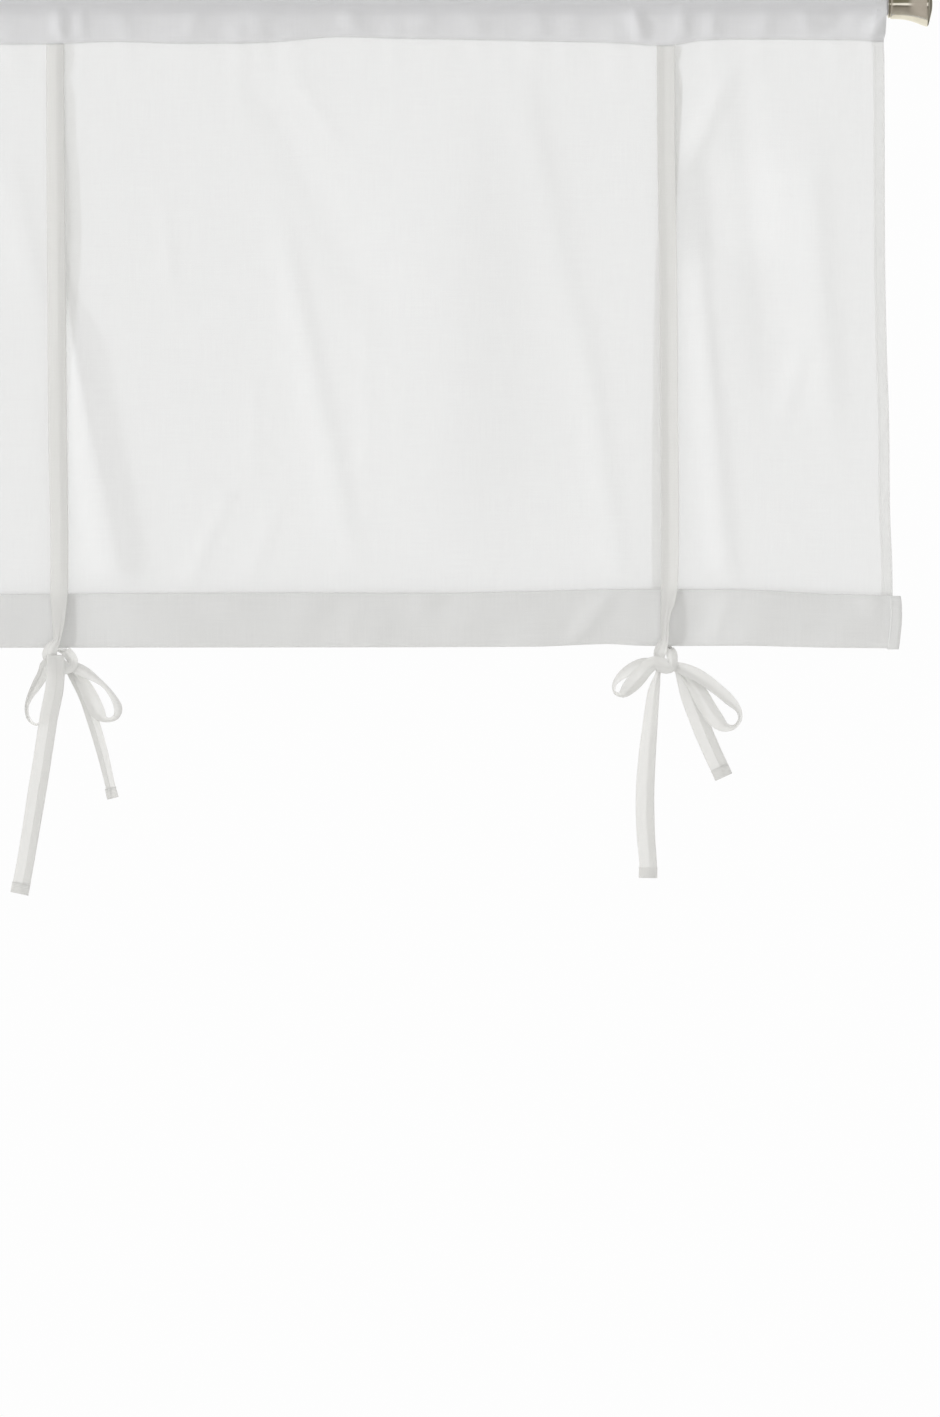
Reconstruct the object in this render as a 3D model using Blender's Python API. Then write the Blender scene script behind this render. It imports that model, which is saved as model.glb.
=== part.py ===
# Roll-up curtain on a rod. A sheer cotton cloth with a sewn rod pocket hangs from a round rod.
# Its foot is rolled up towards the front and rests in two pairs of sewn-in ribbons, one ribbon
# of each pair in front and one behind, tied in a bow under the roll.
# Metres, +Z up. The front faces -Y, and the origin is on the rod's axis at mid-length.
import math

import bmesh
import bpy
from mathutils import Vector

MM = 0.001  # every size below is in millimetres
SHARP_DEGREES = 40
MERGE_DISTANCE = 0.00001

# Colours
CLOTH_WHITE = (0.88, 0.88, 0.87)
RIBBON_WHITE = (0.86, 0.86, 0.84)
NICKEL = (0.62, 0.6, 0.55)

# Rod and finials
ROD_RADIUS = 12.5
ROD_HALF_LENGTH = 605.0
ROD_SIDES = 24
SEAT_GAP = 0.3
# Turned finial: distance out from its seat on the rod's end, and radius
FINIAL_PROFILE = (
    # out, radius
    (0.0, 15.6),
    (0.7, 16.4),
    (3.4, 16.4),
    (4.0, 15.7),
    (4.6, 17.4),
    (13.0, 17.7),
    (22.0, 19.0),
    (29.0, 21.1),
    (35.0, 23.5),
    (40.0, 25.4),
    (42.7, 26.2),
    (46.5, 18.4),
    (48.6, 10.0),
)
FINIAL_LENGTH = 49.7

# Cloth
CLOTH_THICKNESS = 1.2
POCKET_EASE = 0.6  # room between the rod and the pocket
POCKET_ARC_STEPS = 10
POCKET_ARC_DIP = 15.0  # degrees that the pocket follows the rod below its middle
PANEL_ROWS = 14
STATIONS = 34
TIE_STATIONS = (-12.0, 2.0, 16.0, 34.0)  # more stations, this far outwards from a tie
EDGE_STATION = 0.985  # and one beside each edge
LEAST_STATION_STEP = 0.008
WIDTH_LEVEL = -300.0  # height at which a station's place across the cloth is measured
SEAM_TAPER = 6.0  # the doubled seam thins to one layer over this height

# Ties
TIE_X = 349.5
RIBBON_THICKNESS = 1.0

# Roll at the foot, wound towards the front
ROLL_DEPTH = 17.0
ROLL_SQUARENESS = 2.6  # exponent of the oval: 2 is an ellipse
ROLL_DENT = 1.5  # how far a ribbon presses into the roll's front
ROLL_DENT_WIDTH = 15.0
CREVICE_DROP = 8.0  # the roll meets the panel this far below its own top
# Degrees round the roll's oval: 0 is its front, 90 its top, 180 its back
ROLL_HUMP = (120, 105, 90, 70, 45)
ROLL_FRONT = (20, 0, -20, -45)
ROLL_FOOT = (-70, -90, -110)
ROLL_BACK = (160, 180, 200, 225)

# Height of the pocket's seam, and of the roll's top and bottom, along the curtain
SEAM_ROWS = (
    # x, z
    (-602, -42.5), (-366, -45.5), (-286, -42.5), (-206, -44.5), (-109, -43.5), (-29, -37.0),
    (34, -38.5), (194, -41.5), (297, -44.0), (352, -47.0), (398, -40.5), (555, -40.5), (602, -42.5),
)
ROLL_TOP_ROWS = (
    # x, z
    (-620, -674.0), (-330, -671.5), (-126, -670.5), (114, -670.5), (194, -668.5), (314, -666.0),
    (434, -667.0), (515, -670.5), (590, -672.5), (620, -676.5),
)
ROLL_BOTTOM_ROWS = (
    # x, z
    (-620, -737.0), (-246, -736.5), (194, -735.5), (275, -732.5), (315, -734.5), (395, -734.5),
    (435, -733.5), (515, -735.5), (590, -737.0), (620, -739.0),
)
# Half of the cloth's width at each height: it draws in below the pocket and spreads at the foot
EDGE_ROWS = (
    # z, half width
    (14, 602.5), (-20, 601.5), (-42, 599.5), (-300, 600.5), (-400, 602.5), (-480, 605.0),
    (-580, 606.0), (-640, 608.5), (-680, 609.0),
)
ROLL_EDGE_ROWS = (
    # z, half width
    (-668, 614.5), (-676, 618.5), (-690, 620.0), (-706, 620.0), (-722, 618.0), (-740, 615.5),
)
# Soft folds of the hanging cloth. Each is a ridge along a line, with its half width at the
# line's ends, and its height towards the front, negative for a trough.
FOLDS = (
    # top x, top z, bottom x, bottom z, top half width, bottom half width, height
    (-326, -300, -282, -672, 13, 26, 6.5),
    (-268, -330, -225, -672, 20, 30, -2.5),
    (383, -150, 428, -672, 18, 26, 5.5),
    (398, -85, 372, -215, 14, 16, 2.5),
    (440, -130, 470, -420, 22, 34, -3.0),
    (-78, -150, -22, -600, 26, 30, 3.5),
    (-118, -90, 10, -330, 26, 40, -2.0),
    (95, -200, 60, -560, 60, 70, 3.0),
    (-148, -560, -196, -672, 8, 12, 1.8),
    (-98, -590, -130, -672, 9, 12, 1.6),
    (520, -330, 492, -470, 14, 18, 1.8),
    (-400, -190, -372, -320, 30, 30, 2.5),
    (-520, -120, -480, -640, 34, 40, 3.0),
)
FOLD_LEAD = 0.35  # a fold runs on past both ends of its line by this share of its length
FOLD_RISE = 0.6  # share of the line over which it grows
FOLD_FALL = 0.5  # and over which it dies out
FOLD_CALM_TOP = 45.0  # the folds grow from nothing over this height below the seam
FOLD_CALM_FOOT = 30.0  # and die out over this height above the roll
TIE_CALM_WIDTH = 24.0  # half width in which the folds flatten behind a ribbon
# Puckers in the front of the pocket
PUCKERS = (
    # x, half width, height towards the front
    (-500, 20, 1.2), (-350, 12, 1.6), (-120, 16, 1.4), (-20, 14, 2.0), (130, 22, 1.2),
    (352, 11, 2.2), (380, 9, -1.2), (500, 20, 1.2),
)

# Route of each ribbon, from the seam to its free end. across: from the tie's middle line.
# down: below the rod's axis. out: in front of the rod's axis. wide: its drawn-in width.
# The last three say which way its width runs.
LEFT_FRONT = (
    # across, down, out, wide, width x, width y, width z
    (0.0, 46, 2.1, 20, 1.0, 0.0, 0.0),
    (0.5, 167, 4.8, 20, 1.0, 0.0, 0.0),
    (2.5, 339, 8.8, 21, 1.0, 0.1, 0.0),
    (4.5, 500, 12.6, 21, 1.0, -0.1, 0.0),
    (6.5, 610, 15.2, 20, 1.0, 0.0, 0.0),
    (6.0, 680, 17.0, 19, 1.0, 0.0, 0.0),
    (5.5, 708, 17.4, 14, 1.0, 0.0, 0.0),
    (3.5, 728, 18.4, 9, 1.0, 0.0, -0.1),
    (-2.5, 738, 21.2, 12, 0.9, 0.0, -0.4),
    (-4.5, 746, 21.4, 14, 1.0, 0.1, -0.1),
    (-2.5, 752, 19.2, 8, 0.8, 0.1, 0.5),
    (3.0, 755, 18.4, 6, 0.35, 0.1, 0.95),
    (10.0, 756, 18.4, 6, 0.1, 0.1, 1.0),
    (21.0, 758, 18.8, 12, 0.35, 0.3, 0.9),
    (34.0, 764, 19.0, 17, 0.45, 0.7, 0.65),
    (46.0, 771, 19.6, 21, 0.25, 0.93, 0.3),
    (59.0, 781, 20.4, 21, 0.15, 0.97, 0.15),
    (69.0, 794, 21.4, 21, 0.25, 0.94, 0.15),
    (74.0, 806, 22.2, 21, 0.4, 0.9, 0.0),
    (71.0, 816, 22.8, 21, 0.2, 0.96, -0.2),
    (61.0, 819, 23.0, 21, -0.1, 0.95, -0.25),
    (50.0, 809, 22.4, 20, -0.6, 0.6, -0.5),
    (42.0, 793, 21.2, 18, -0.85, 0.25, -0.45),
    (34.0, 778, 19.6, 15, -0.9, 0.1, -0.4),
    (24.0, 765, 17.2, 9, -0.7, 0.0, -0.7),
    (15.0, 757, 16.4, 7, -0.6, 0.0, -0.8),
    (10.0, 753, 14.6, 7, -0.6, 0.0, -0.8),
    (14.0, 757, 12.8, 7, -0.65, 0.0, -0.75),
    (23.0, 769, 11.6, 12, -0.85, 0.1, -0.5),
    (35.0, 792, 9.4, 14, -0.9, 0.25, -0.35),
    (44.0, 818, 7.6, 15, -0.85, 0.4, -0.3),
    (55.0, 855, 7.6, 15, -0.8, 0.5, -0.25),
    (64.0, 893, 8.6, 14, -0.75, 0.6, -0.2),
    (67.5, 908, 8.8, 15, -0.8, 0.5, -0.2),
)
LEFT_BACK = (
    # across, down, out, wide, width x, width y, width z
    (18.0, 46, -2.8, 20, 1.0, 0.0, 0.0),
    (16.0, 200, -3.0, 20, 1.0, 0.0, 0.0),
    (8.0, 360, -3.0, 20, 1.0, 0.0, 0.0),
    (6.0, 640, -2.8, 20, 1.0, 0.0, 0.0),
    (6.0, 720, -2.6, 19, 1.0, 0.0, 0.0),
    (6.0, 736, -0.6, 15, 1.0, 0.0, 0.0),
    (6.5, 740, 5.0, 12, 1.0, 0.0, 0.0),
    (9.0, 740.5, 11.5, 10, 0.9, -0.1, 0.3),
    (15.0, 744, 17.0, 9, 0.6, 0.0, 0.8),
    (20.5, 751, 21.6, 7, 1.0, 0.3, 0.1),
    (16.0, 758, 24.2, 9, 0.4, 0.1, -0.9),
    (9.0, 759, 25.0, 14, 0.0, 0.0, -1.0),
    (-1.0, 759, 25.0, 17, 0.0, 0.0, -1.0),
    (-8.5, 760, 24.0, 12, 0.2, 0.3, -0.9),
    (-11.5, 763, 20.4, 10, 0.5, 0.6, -0.7),
    (-14.0, 770, 16.6, 13, 0.75, 0.5, -0.5),
    (-19.5, 780, 14.0, 17, 0.5, 0.8, -0.3),
    (-27.0, 793, 11.6, 20, 0.25, 0.96, -0.1),
    (-31.0, 805, 10.2, 21, 0.12, 0.99, 0.0),
    (-29.0, 817, 9.4, 21, 0.08, 0.99, 0.08),
    (-21.0, 824, 9.2, 21, 0.0, 0.99, 0.1),
    (-11.0, 819, 9.8, 20, -0.4, 0.9, 0.2),
    (-4.5, 804, 12.6, 16, -0.8, 0.5, 0.3),
    (-0.5, 786, 16.6, 11, -0.95, 0.2, 0.2),
    (1.5, 769, 19.6, 8, -1.0, 0.0, 0.1),
    (2.5, 757, 20.6, 7, -1.0, 0.0, 0.1),
    (2.8, 752, 21.5, 7, -1.0, 0.0, 0.1),
    (3.0, 757, 22.4, 8, -1.0, 0.0, 0.1),
    (3.0, 770, 22.4, 15, -1.0, 0.0, 0.1),
    (1.5, 786, 22.4, 20, -1.0, 0.0, 0.15),
    (-5.0, 815, 22.4, 21, -1.0, 0.1, 0.15),
    (-11.0, 853, 21.2, 21, -1.0, 0.1, 0.15),
    (-18.5, 899, 19.6, 21, -1.0, 0.0, 0.15),
    (-26.0, 945, 18.2, 20, -1.0, 0.0, 0.15),
    (-33.5, 989, 17.0, 20, -1.0, 0.1, 0.2),
    (-39.0, 1017, 16.4, 21, -0.95, 0.1, 0.3),
)
RIGHT_FRONT = (
    # across, down, out, wide, width x, width y, width z
    (-0.5, 48, 2.1, 20, 1.0, 0.0, 0.0),
    (0.0, 167, 4.8, 20, 1.0, 0.0, 0.0),
    (3.0, 290, 7.8, 20, 1.0, -0.1, 0.0),
    (4.0, 450, 11.4, 20, 1.0, 0.1, 0.0),
    (5.0, 610, 15.2, 20, 1.0, 0.0, 0.0),
    (3.5, 676, 16.8, 18, 1.0, 0.0, 0.0),
    (-0.5, 702, 17.4, 11, 1.0, 0.0, 0.0),
    (-1.5, 727, 18.4, 8, 1.0, 0.0, -0.1),
    (-6.0, 739, 21.4, 10, 0.85, 0.0, -0.5),
    (-8.0, 747, 21.0, 9, 1.0, 0.1, 0.0),
    (-5.0, 753, 19.0, 6, 0.7, 0.1, 0.7),
    (1.0, 757, 18.4, 6, 0.3, 0.1, 0.95),
    (13.5, 759, 18.8, 12, 0.1, 0.2, 1.0),
    (25.0, 763, 19.2, 16, 0.35, 0.45, 0.8),
    (40.0, 770.5, 19.8, 20, 0.4, 0.65, 0.65),
    (57.5, 783, 20.4, 21, 0.4, 0.75, 0.5),
    (72.5, 796, 21.2, 21, 0.4, 0.78, 0.4),
    (83.0, 808, 22.2, 21, 0.3, 0.94, 0.12),
    (84.5, 818.5, 23.0, 21, 0.2, 0.97, -0.12),
    (77.5, 827.5, 23.4, 21, 0.0, 0.96, -0.25),
    (67.0, 827.5, 23.4, 21, -0.3, 0.85, -0.4),
    (56.0, 818, 22.8, 21, -0.7, 0.5, -0.5),
    (47.5, 805.5, 22.0, 20, -0.85, 0.3, -0.5),
    (38.0, 789.5, 20.8, 19, -0.85, 0.15, -0.5),
    (27.0, 773, 18.2, 13, -0.8, 0.0, -0.6),
    (15.0, 761, 16.6, 7, -0.6, 0.0, -0.8),
    (9.5, 757, 14.8, 7, -0.6, 0.0, -0.8),
    (13.5, 761, 13.0, 8, -0.65, 0.0, -0.75),
    (19.5, 774, 12.4, 14, -0.85, 0.1, -0.5),
    (27.0, 792, 11.6, 20, -0.9, 0.1, -0.4),
    (41.0, 828, 10.4, 21, -0.9, 0.1, -0.45),
    (53.5, 857, 10.6, 21, -0.9, 0.0, -0.45),
    (66.0, 884, 11.0, 21, -0.9, 0.0, -0.45),
)
RIGHT_BACK = (
    # across, down, out, wide, width x, width y, width z
    (8.5, 48, -2.8, 20, 1.0, 0.0, 0.0),
    (6.0, 170, -3.0, 20, 1.0, 0.0, 0.0),
    (-6.0, 360, -3.0, 20, 1.0, 0.0, 0.0),
    (-9.0, 640, -2.8, 20, 1.0, 0.0, 0.0),
    (-5.0, 720, -2.6, 18, 1.0, 0.0, 0.0),
    (-1.0, 734, -0.6, 14, 1.0, 0.0, 0.0),
    (2.5, 738, 5.0, 11, 1.0, 0.0, 0.1),
    (5.0, 739, 11.5, 9, 0.9, -0.1, 0.3),
    (10.5, 743.5, 17.0, 8, 0.6, 0.0, 0.75),
    (14.0, 751, 21.6, 7, 1.0, 0.3, 0.1),
    (9.0, 758, 24.2, 10, 0.4, 0.1, -0.9),
    (1.5, 757, 25.0, 16, 0.0, 0.0, -1.0),
    (-6.5, 756, 25.0, 14, 0.1, 0.0, -1.0),
    (-14.0, 757, 24.6, 14, 0.35, 0.1, -0.9),
    (-21.0, 763, 23.8, 18, 0.65, 0.1, -0.75),
    (-31.5, 773, 22.6, 19, 0.7, 0.15, -0.7),
    (-42.0, 783, 21.2, 20, 0.55, 0.55, -0.6),
    (-50.5, 790.5, 19.6, 21, 0.2, 0.9, -0.3),
    (-58.0, 788, 17.6, 21, -0.1, 0.98, -0.1),
    (-58.5, 778, 16.2, 21, -0.2, 0.96, 0.1),
    (-49.0, 767, 15.6, 20, -0.3, 0.85, 0.4),
    (-35.0, 758.5, 16.0, 17, -0.4, 0.6, 0.65),
    (-22.0, 754, 17.6, 12, -0.25, 0.3, 0.9),
    (-13.5, 755.5, 19.8, 7, 0.1, 0.2, 1.0),
    (-8.8, 760.5, 21.4, 6, 0.7, 0.1, 0.7),
    (-9.5, 767, 21.6, 6, 1.0, 0.0, 0.0),
    (-11.5, 775, 21.4, 10, 1.0, -0.3, -0.1),
    (-14.5, 789, 21.2, 15, 1.0, -0.5, -0.15),
    (-18.0, 822, 21.4, 18, 1.0, -0.45, -0.1),
    (-21.5, 859, 20.2, 20, 1.0, -0.3, -0.1),
    (-24.0, 906, 18.8, 21, 1.0, -0.1, 0.0),
    (-23.0, 950, 17.8, 21, 1.0, 0.1, 0.0),
    (-20.5, 982, 17.2, 20, 1.0, 0.0, 0.1),
    (-20.5, 999, 17.0, 21, 1.0, 0.0, 0.1),
)
RIBBON_STEP = 9.0  # length of one facet along a ribbon
RIBBON_MOST_STEPS = 4  # facets between two rows of its table
RIBBON_BOW = 0.03  # how far a ribbon's middle stands out, as a share of its width
ROUTE_LOOK = 0.5  # distance each way over which a ribbon's direction is taken


def smooth_row(rows, place):
    """Row of a table at a place along its first column, on a smooth curve through the rows."""
    last = len(rows) - 1
    place = min(max(place, rows[0][0]), rows[last][0])
    i = max(n for n in range(last) if rows[n][0] <= place or n == 0)
    before, start = rows[max(i - 1, 0)], rows[i]
    end, after = rows[i + 1], rows[min(i + 2, last)]
    step = end[0] - start[0]
    share = (place - start[0]) / step
    values = []
    for column in range(1, len(start)):
        slope_start = (end[column] - before[column]) / (end[0] - before[0]) * step
        slope_end = (after[column] - start[column]) / (after[0] - start[0]) * step
        values.append(
            (2 * share**3 - 3 * share**2 + 1) * start[column]
            + (share**3 - 2 * share**2 + share) * slope_start
            + (3 * share**2 - 2 * share**3) * end[column]
            + (share**3 - share**2) * slope_end
        )
    return values


def height_at(rows, x):
    return smooth_row(rows, x)[0]


def half_width_at(rows, z):
    """Half width at a height, from a table that runs downwards."""
    return smooth_row([(-row[0], row[1]) for row in rows], -z)[0]


def ease(share):
    share = min(max(share, 0.0), 1.0)
    return share * share * (3 - 2 * share)


def bell(distance, half_width):
    return math.exp(-((distance / half_width) ** 2))


def near_tie(x, half_width):
    return bell(abs(x) - TIE_X, half_width)


def fold_height(x, z):
    """How far the hanging cloth stands forward of its own plane."""
    total = 0.0
    for top_x, top_z, foot_x, foot_z, top_wide, foot_wide, height in FOLDS:
        share = (top_z - z) / (top_z - foot_z)
        held = min(max(share, 0.0), 1.0)
        middle = top_x + (foot_x - top_x) * share
        wide = top_wide + (foot_wide - top_wide) * held
        fade = ease((share + FOLD_LEAD) / FOLD_RISE) * ease((1 + FOLD_LEAD - share) / FOLD_FALL)
        total += height * fade * bell(x - middle, wide)
    calm_top = ease((height_at(SEAM_ROWS, x) - z) / FOLD_CALM_TOP)
    calm_foot = ease((z - height_at(ROLL_TOP_ROWS, x)) / FOLD_CALM_FOOT)
    return total * calm_top * calm_foot * (1 - near_tie(x, TIE_CALM_WIDTH))


def pucker_height(x):
    return sum(height * bell(x - middle, wide) for middle, wide, height in PUCKERS)


def roll_depth_at(x):
    return ROLL_DEPTH - ROLL_DENT * near_tie(x, ROLL_DENT_WIDTH)


def on_roll(x, degrees):
    """Point of the roll's oval: 0 degrees is its front, 90 its top, 180 its back."""
    top, bottom = height_at(ROLL_TOP_ROWS, x), height_at(ROLL_BOTTOM_ROWS, x)
    depth = roll_depth_at(x)
    power = 2 / ROLL_SQUARENESS
    run, rise = math.cos(math.radians(degrees)), math.sin(math.radians(degrees))
    forward = math.copysign(abs(run) ** power, run) * depth / 2
    upward = math.copysign(abs(rise) ** power, rise) * (top - bottom) / 2
    return CLOTH_THICKNESS / 2 - depth / 2 - forward, (top + bottom) / 2 + upward


def pocket_wall(x):
    """Outer and inner points of the pocket, from the seam in front, over the rod, to the seam behind."""
    seam = height_at(SEAM_ROWS, x)
    inner_radius = ROD_RADIUS + POCKET_EASE
    outer_radius = inner_radius + CLOTH_THICKNESS
    outer, inner = [(-CLOTH_THICKNESS, seam)], []
    first, last = 180 + POCKET_ARC_DIP, -POCKET_ARC_DIP
    for step in range(POCKET_ARC_STEPS + 1):
        angle = math.radians(first + (last - first) * step / POCKET_ARC_STEPS)
        outer.append((math.cos(angle) * outer_radius, math.sin(angle) * outer_radius))
        inner.append((math.cos(angle) * inner_radius, math.sin(angle) * inner_radius))
    outer.append((CLOTH_THICKNESS, seam))
    # One more point in each straight fall from the rod to the seam, where the cloth puckers
    front_y = (outer[0][0] + outer[1][0]) / 2 - pucker_height(x)
    front_z = (outer[0][1] + outer[1][1]) / 2
    back_y, back_z = (outer[-1][0] + outer[-2][0]) / 2, (outer[-1][1] + outer[-2][1]) / 2
    outer.insert(1, (front_y, front_z))
    outer.insert(-1, (back_y, back_z))
    inner.insert(0, (front_y + CLOTH_THICKNESS, front_z))
    inner.append((back_y - CLOTH_THICKNESS, back_z))
    crotch = (0.0, seam + 2 * CLOTH_THICKNESS)
    return outer, inner, crotch


def cloth_section(unit):
    """Points of the cloth's cross-section at one station, and the faces that cap its ends.

    unit runs from -1 at the left edge to 1 at the right edge.
    """
    middle_x = unit * half_width_at(EDGE_ROWS, WIDTH_LEVEL)
    points, caps = [], []

    def add(y, z, half_width):
        points.append(Vector((unit * half_width, y, z)))
        return len(points) - 1

    # Rod pocket
    outer, inner, crotch = pocket_wall(middle_x)
    outer_ids = [add(y, z, half_width_at(EDGE_ROWS, z)) for y, z in outer]
    inner_ids = [add(y, z, half_width_at(EDGE_ROWS, z)) for y, z in inner]
    crotch_id = add(*crotch, half_width_at(EDGE_ROWS, crotch[1]))
    ringed = [crotch_id, *inner_ids, crotch_id]
    for k in range(len(outer_ids) - 1):
        face = [outer_ids[k], outer_ids[k + 1], ringed[k + 1], ringed[k]]
        caps.append(face)
    # Hanging panel, from the seam to the crevice behind the roll
    half = CLOTH_THICKNESS / 2
    seam = height_at(SEAM_ROWS, middle_x)
    crevice = height_at(ROLL_TOP_ROWS, middle_x) - CREVICE_DROP
    fronts, backs = [outer_ids[0]], [outer_ids[-1]]
    for row in range(PANEL_ROWS + 1):
        z = seam - SEAM_TAPER + (crevice - seam + SEAM_TAPER) * row / PANEL_ROWS
        half_width = half_width_at(EDGE_ROWS, z)
        forward = fold_height(unit * half_width, z)
        fronts.append(add(-half - forward, z, half_width))
        backs.append(add(half - forward, z, half_width))
    caps.append([outer_ids[0], crotch_id, outer_ids[-1]])
    for row in range(len(fronts) - 1):
        caps.append([fronts[row], backs[row], backs[row + 1], fronts[row + 1]])
    # Roll: its hump above the crevice, then pairs of front and back points, then its foot
    rolled = {}
    for degrees in ROLL_HUMP + ROLL_FRONT + ROLL_FOOT + ROLL_BACK:
        y, z = on_roll(middle_x, degrees)
        half_width = half_width_at(ROLL_EDGE_ROWS, z)
        if degrees == ROLL_BACK[0]:
            half_width = (half_width + half_width_at(EDGE_ROWS, z)) / 2
        rolled[degrees] = add(y, z, half_width)
    hump, front, foot, back = (
        [rolled[degrees] for degrees in part] for part in (ROLL_HUMP, ROLL_FRONT, ROLL_FOOT, ROLL_BACK)
    )
    crevice_id = fronts[-1]
    caps.append([crevice_id, *hump])
    caps.append([crevice_id, backs[-1], back[0]])
    caps.append([crevice_id, back[0], front[0]])
    caps.append([crevice_id, front[0], hump[-1]])
    for k in range(len(front) - 1):
        caps.append([front[k], back[k], back[k + 1], front[k + 1]])
    caps.append([front[-1], *foot, back[-1]])
    outline = outer_ids + backs[1:] + back + foot[::-1] + front[::-1] + hump[::-1]
    outline += fronts[:0:-1]
    return points, caps, (outline, [crotch_id, *inner_ids])


def station_units():
    """Stations across the cloth, closer together at the ties and at both edges."""
    half_width = half_width_at(EDGE_ROWS, WIDTH_LEVEL)
    units = {round(-1 + 2 * n / STATIONS, 4) for n in range(STATIONS + 1)}
    for side in (-1, 1):
        units |= {round(side * (TIE_X + shift) / half_width, 4) for shift in TIE_STATIONS}
        units.add(side * EDGE_STATION)
    ordered = sorted(units)
    return [u for n, u in enumerate(ordered) if n == 0 or u - ordered[n - 1] > LEAST_STATION_STEP]


def swept_body(name, sections, caps, outlines):
    """Closed mesh through equal sections, joined along their outlines and capped at both ends."""
    mesh = bpy.data.meshes.new(name)
    work = bmesh.new()
    rings = [[work.verts.new(point * MM) for point in section] for section in sections]
    for ring, following in zip(rings, rings[1:]):
        for outline in outlines:
            for a, b in zip(outline, outline[1:] + outline[:1]):
                work.faces.new((ring[a], ring[b], following[b], following[a]))
    for ring in (rings[0], rings[-1]):
        for cap in caps:
            work.faces.new([ring[i] for i in cap])
    bmesh.ops.recalc_face_normals(work, faces=work.faces)
    work.to_mesh(mesh)
    work.free()
    mesh.shade_smooth()
    mesh.set_sharp_from_angle(angle=math.radians(SHARP_DEGREES))
    body = bpy.data.objects.new(name, mesh)
    bpy.context.scene.collection.objects.link(body)
    return body


def finish(name, colour, roughness, metallic=0.0):
    material = bpy.data.materials.new(name)
    material.use_nodes = True
    shader = material.node_tree.nodes["Principled BSDF"]
    shader.inputs["Base Color"].default_value = (*colour, 1.0)
    shader.inputs["Roughness"].default_value = roughness
    shader.inputs["Metallic"].default_value = metallic
    return material


def make_cloth():
    sections = [cloth_section(unit) for unit in station_units()]
    points = [section[0] for section in sections]
    body = swept_body("curtain_cloth", points, sections[0][1], sections[0][2])
    body.data.materials.append(finish("sheer white cotton", CLOTH_WHITE, 0.9))
    return body


def ribbon_rows(route, side):
    """The route's rows in world millimetres, with the distance run along it as first column."""
    rows, run, last = [], 0.0, None
    for across, down, out, wide, *width_way in route:
        place = Vector((side * TIE_X + across, -out, -down))
        run += (place - last).length if last else 0.0
        last = place
        rows.append((run, *place, wide, *Vector(width_way).normalized()))
    return rows


def make_ribbon(name, route, side, material):
    rows = ribbon_rows(route, side)
    places = []
    for row, following in zip(rows, rows[1:]):
        length = following[0] - row[0]
        steps = min(max(round(length / RIBBON_STEP), 1), RIBBON_MOST_STEPS)
        places += [row[0] + length * n / steps for n in range(steps)]
    places.append(rows[-1][0])
    sections = []
    for place in places:
        x, y, z, wide, *way = smooth_row(rows, place)
        ahead, behind = smooth_row(rows, place + ROUTE_LOOK), smooth_row(rows, place - ROUTE_LOOK)
        along = (Vector(ahead[:3]) - Vector(behind[:3])).normalized()
        across = Vector(way)
        across = (across - along * across.dot(along)).normalized()
        face = along.cross(across)
        middle = Vector((x, y, z))
        section = []
        for half in (RIBBON_THICKNESS / 2, -RIBBON_THICKNESS / 2):
            for share in (-0.5, 0.0, 0.5) if half > 0 else (0.5, 0.0, -0.5):
                lift = half + RIBBON_BOW * wide * (1 - 4 * share * share)
                section.append(middle + across * wide * share + face * lift)
        sections.append(section)
    caps = [[0, 1, 4, 5], [1, 2, 3, 4]]
    body = swept_body(name, sections, caps, [[0, 1, 2, 3, 4, 5]])
    body.data.materials.append(material)
    return body


def make_rod(material):
    mesh = bpy.data.meshes.new("rod")
    work = bmesh.new()
    bmesh.ops.create_cone(
        work,
        cap_ends=True,
        segments=ROD_SIDES,
        radius1=ROD_RADIUS * MM,
        radius2=ROD_RADIUS * MM,
        depth=2 * ROD_HALF_LENGTH * MM,
    )
    work.to_mesh(mesh)
    work.free()
    mesh.shade_smooth()
    mesh.set_sharp_from_angle(angle=math.radians(SHARP_DEGREES))
    mesh.materials.append(material)
    rod = bpy.data.objects.new("rod", mesh)
    rod.rotation_euler = (0, math.radians(90), 0)
    bpy.context.scene.collection.objects.link(rod)
    return rod


def make_finial(name, side, material):
    """Trumpet-shaped end piece, turned about its own Z axis and then laid along the rod."""
    profile = [(0.0, FINIAL_LENGTH), *((r, out) for out, r in reversed(FINIAL_PROFILE)), (0.0, 0.0)]
    mesh = bpy.data.meshes.new(name)
    points = [(radius * MM, 0.0, out * MM) for radius, out in profile]
    mesh.from_pydata(points, [(n, n + 1) for n in range(len(points) - 1)], [])
    mesh.materials.append(material)
    finial = bpy.data.objects.new(name, mesh)
    turn = finial.modifiers.new("Turn", "SCREW")
    turn.axis = "Z"
    turn.steps = ROD_SIDES
    turn.render_steps = ROD_SIDES
    turn.use_merge_vertices = True
    turn.merge_threshold = MERGE_DISTANCE
    turn.use_smooth_shade = True
    finial.location.x = side * (ROD_HALF_LENGTH + SEAT_GAP) * MM
    finial.rotation_euler = (0, side * math.radians(90), 0)
    bpy.context.scene.collection.objects.link(finial)
    return finial


for thing in list(bpy.data.objects):
    bpy.data.objects.remove(thing, do_unlink=True)

curtain = make_cloth()
tape = finish("white cotton ribbon", RIBBON_WHITE, 0.85)
make_ribbon("ribbon_front_left", LEFT_FRONT, -1, tape)
make_ribbon("ribbon_back_left", LEFT_BACK, -1, tape)
make_ribbon("ribbon_front_right", RIGHT_FRONT, 1, tape)
make_ribbon("ribbon_back_right", RIGHT_BACK, 1, tape)
metal = finish("satin nickel", NICKEL, 0.3, 1.0)
make_rod(metal)
make_finial("finial_right", 1, metal)
make_finial("finial_left", -1, metal)
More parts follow.
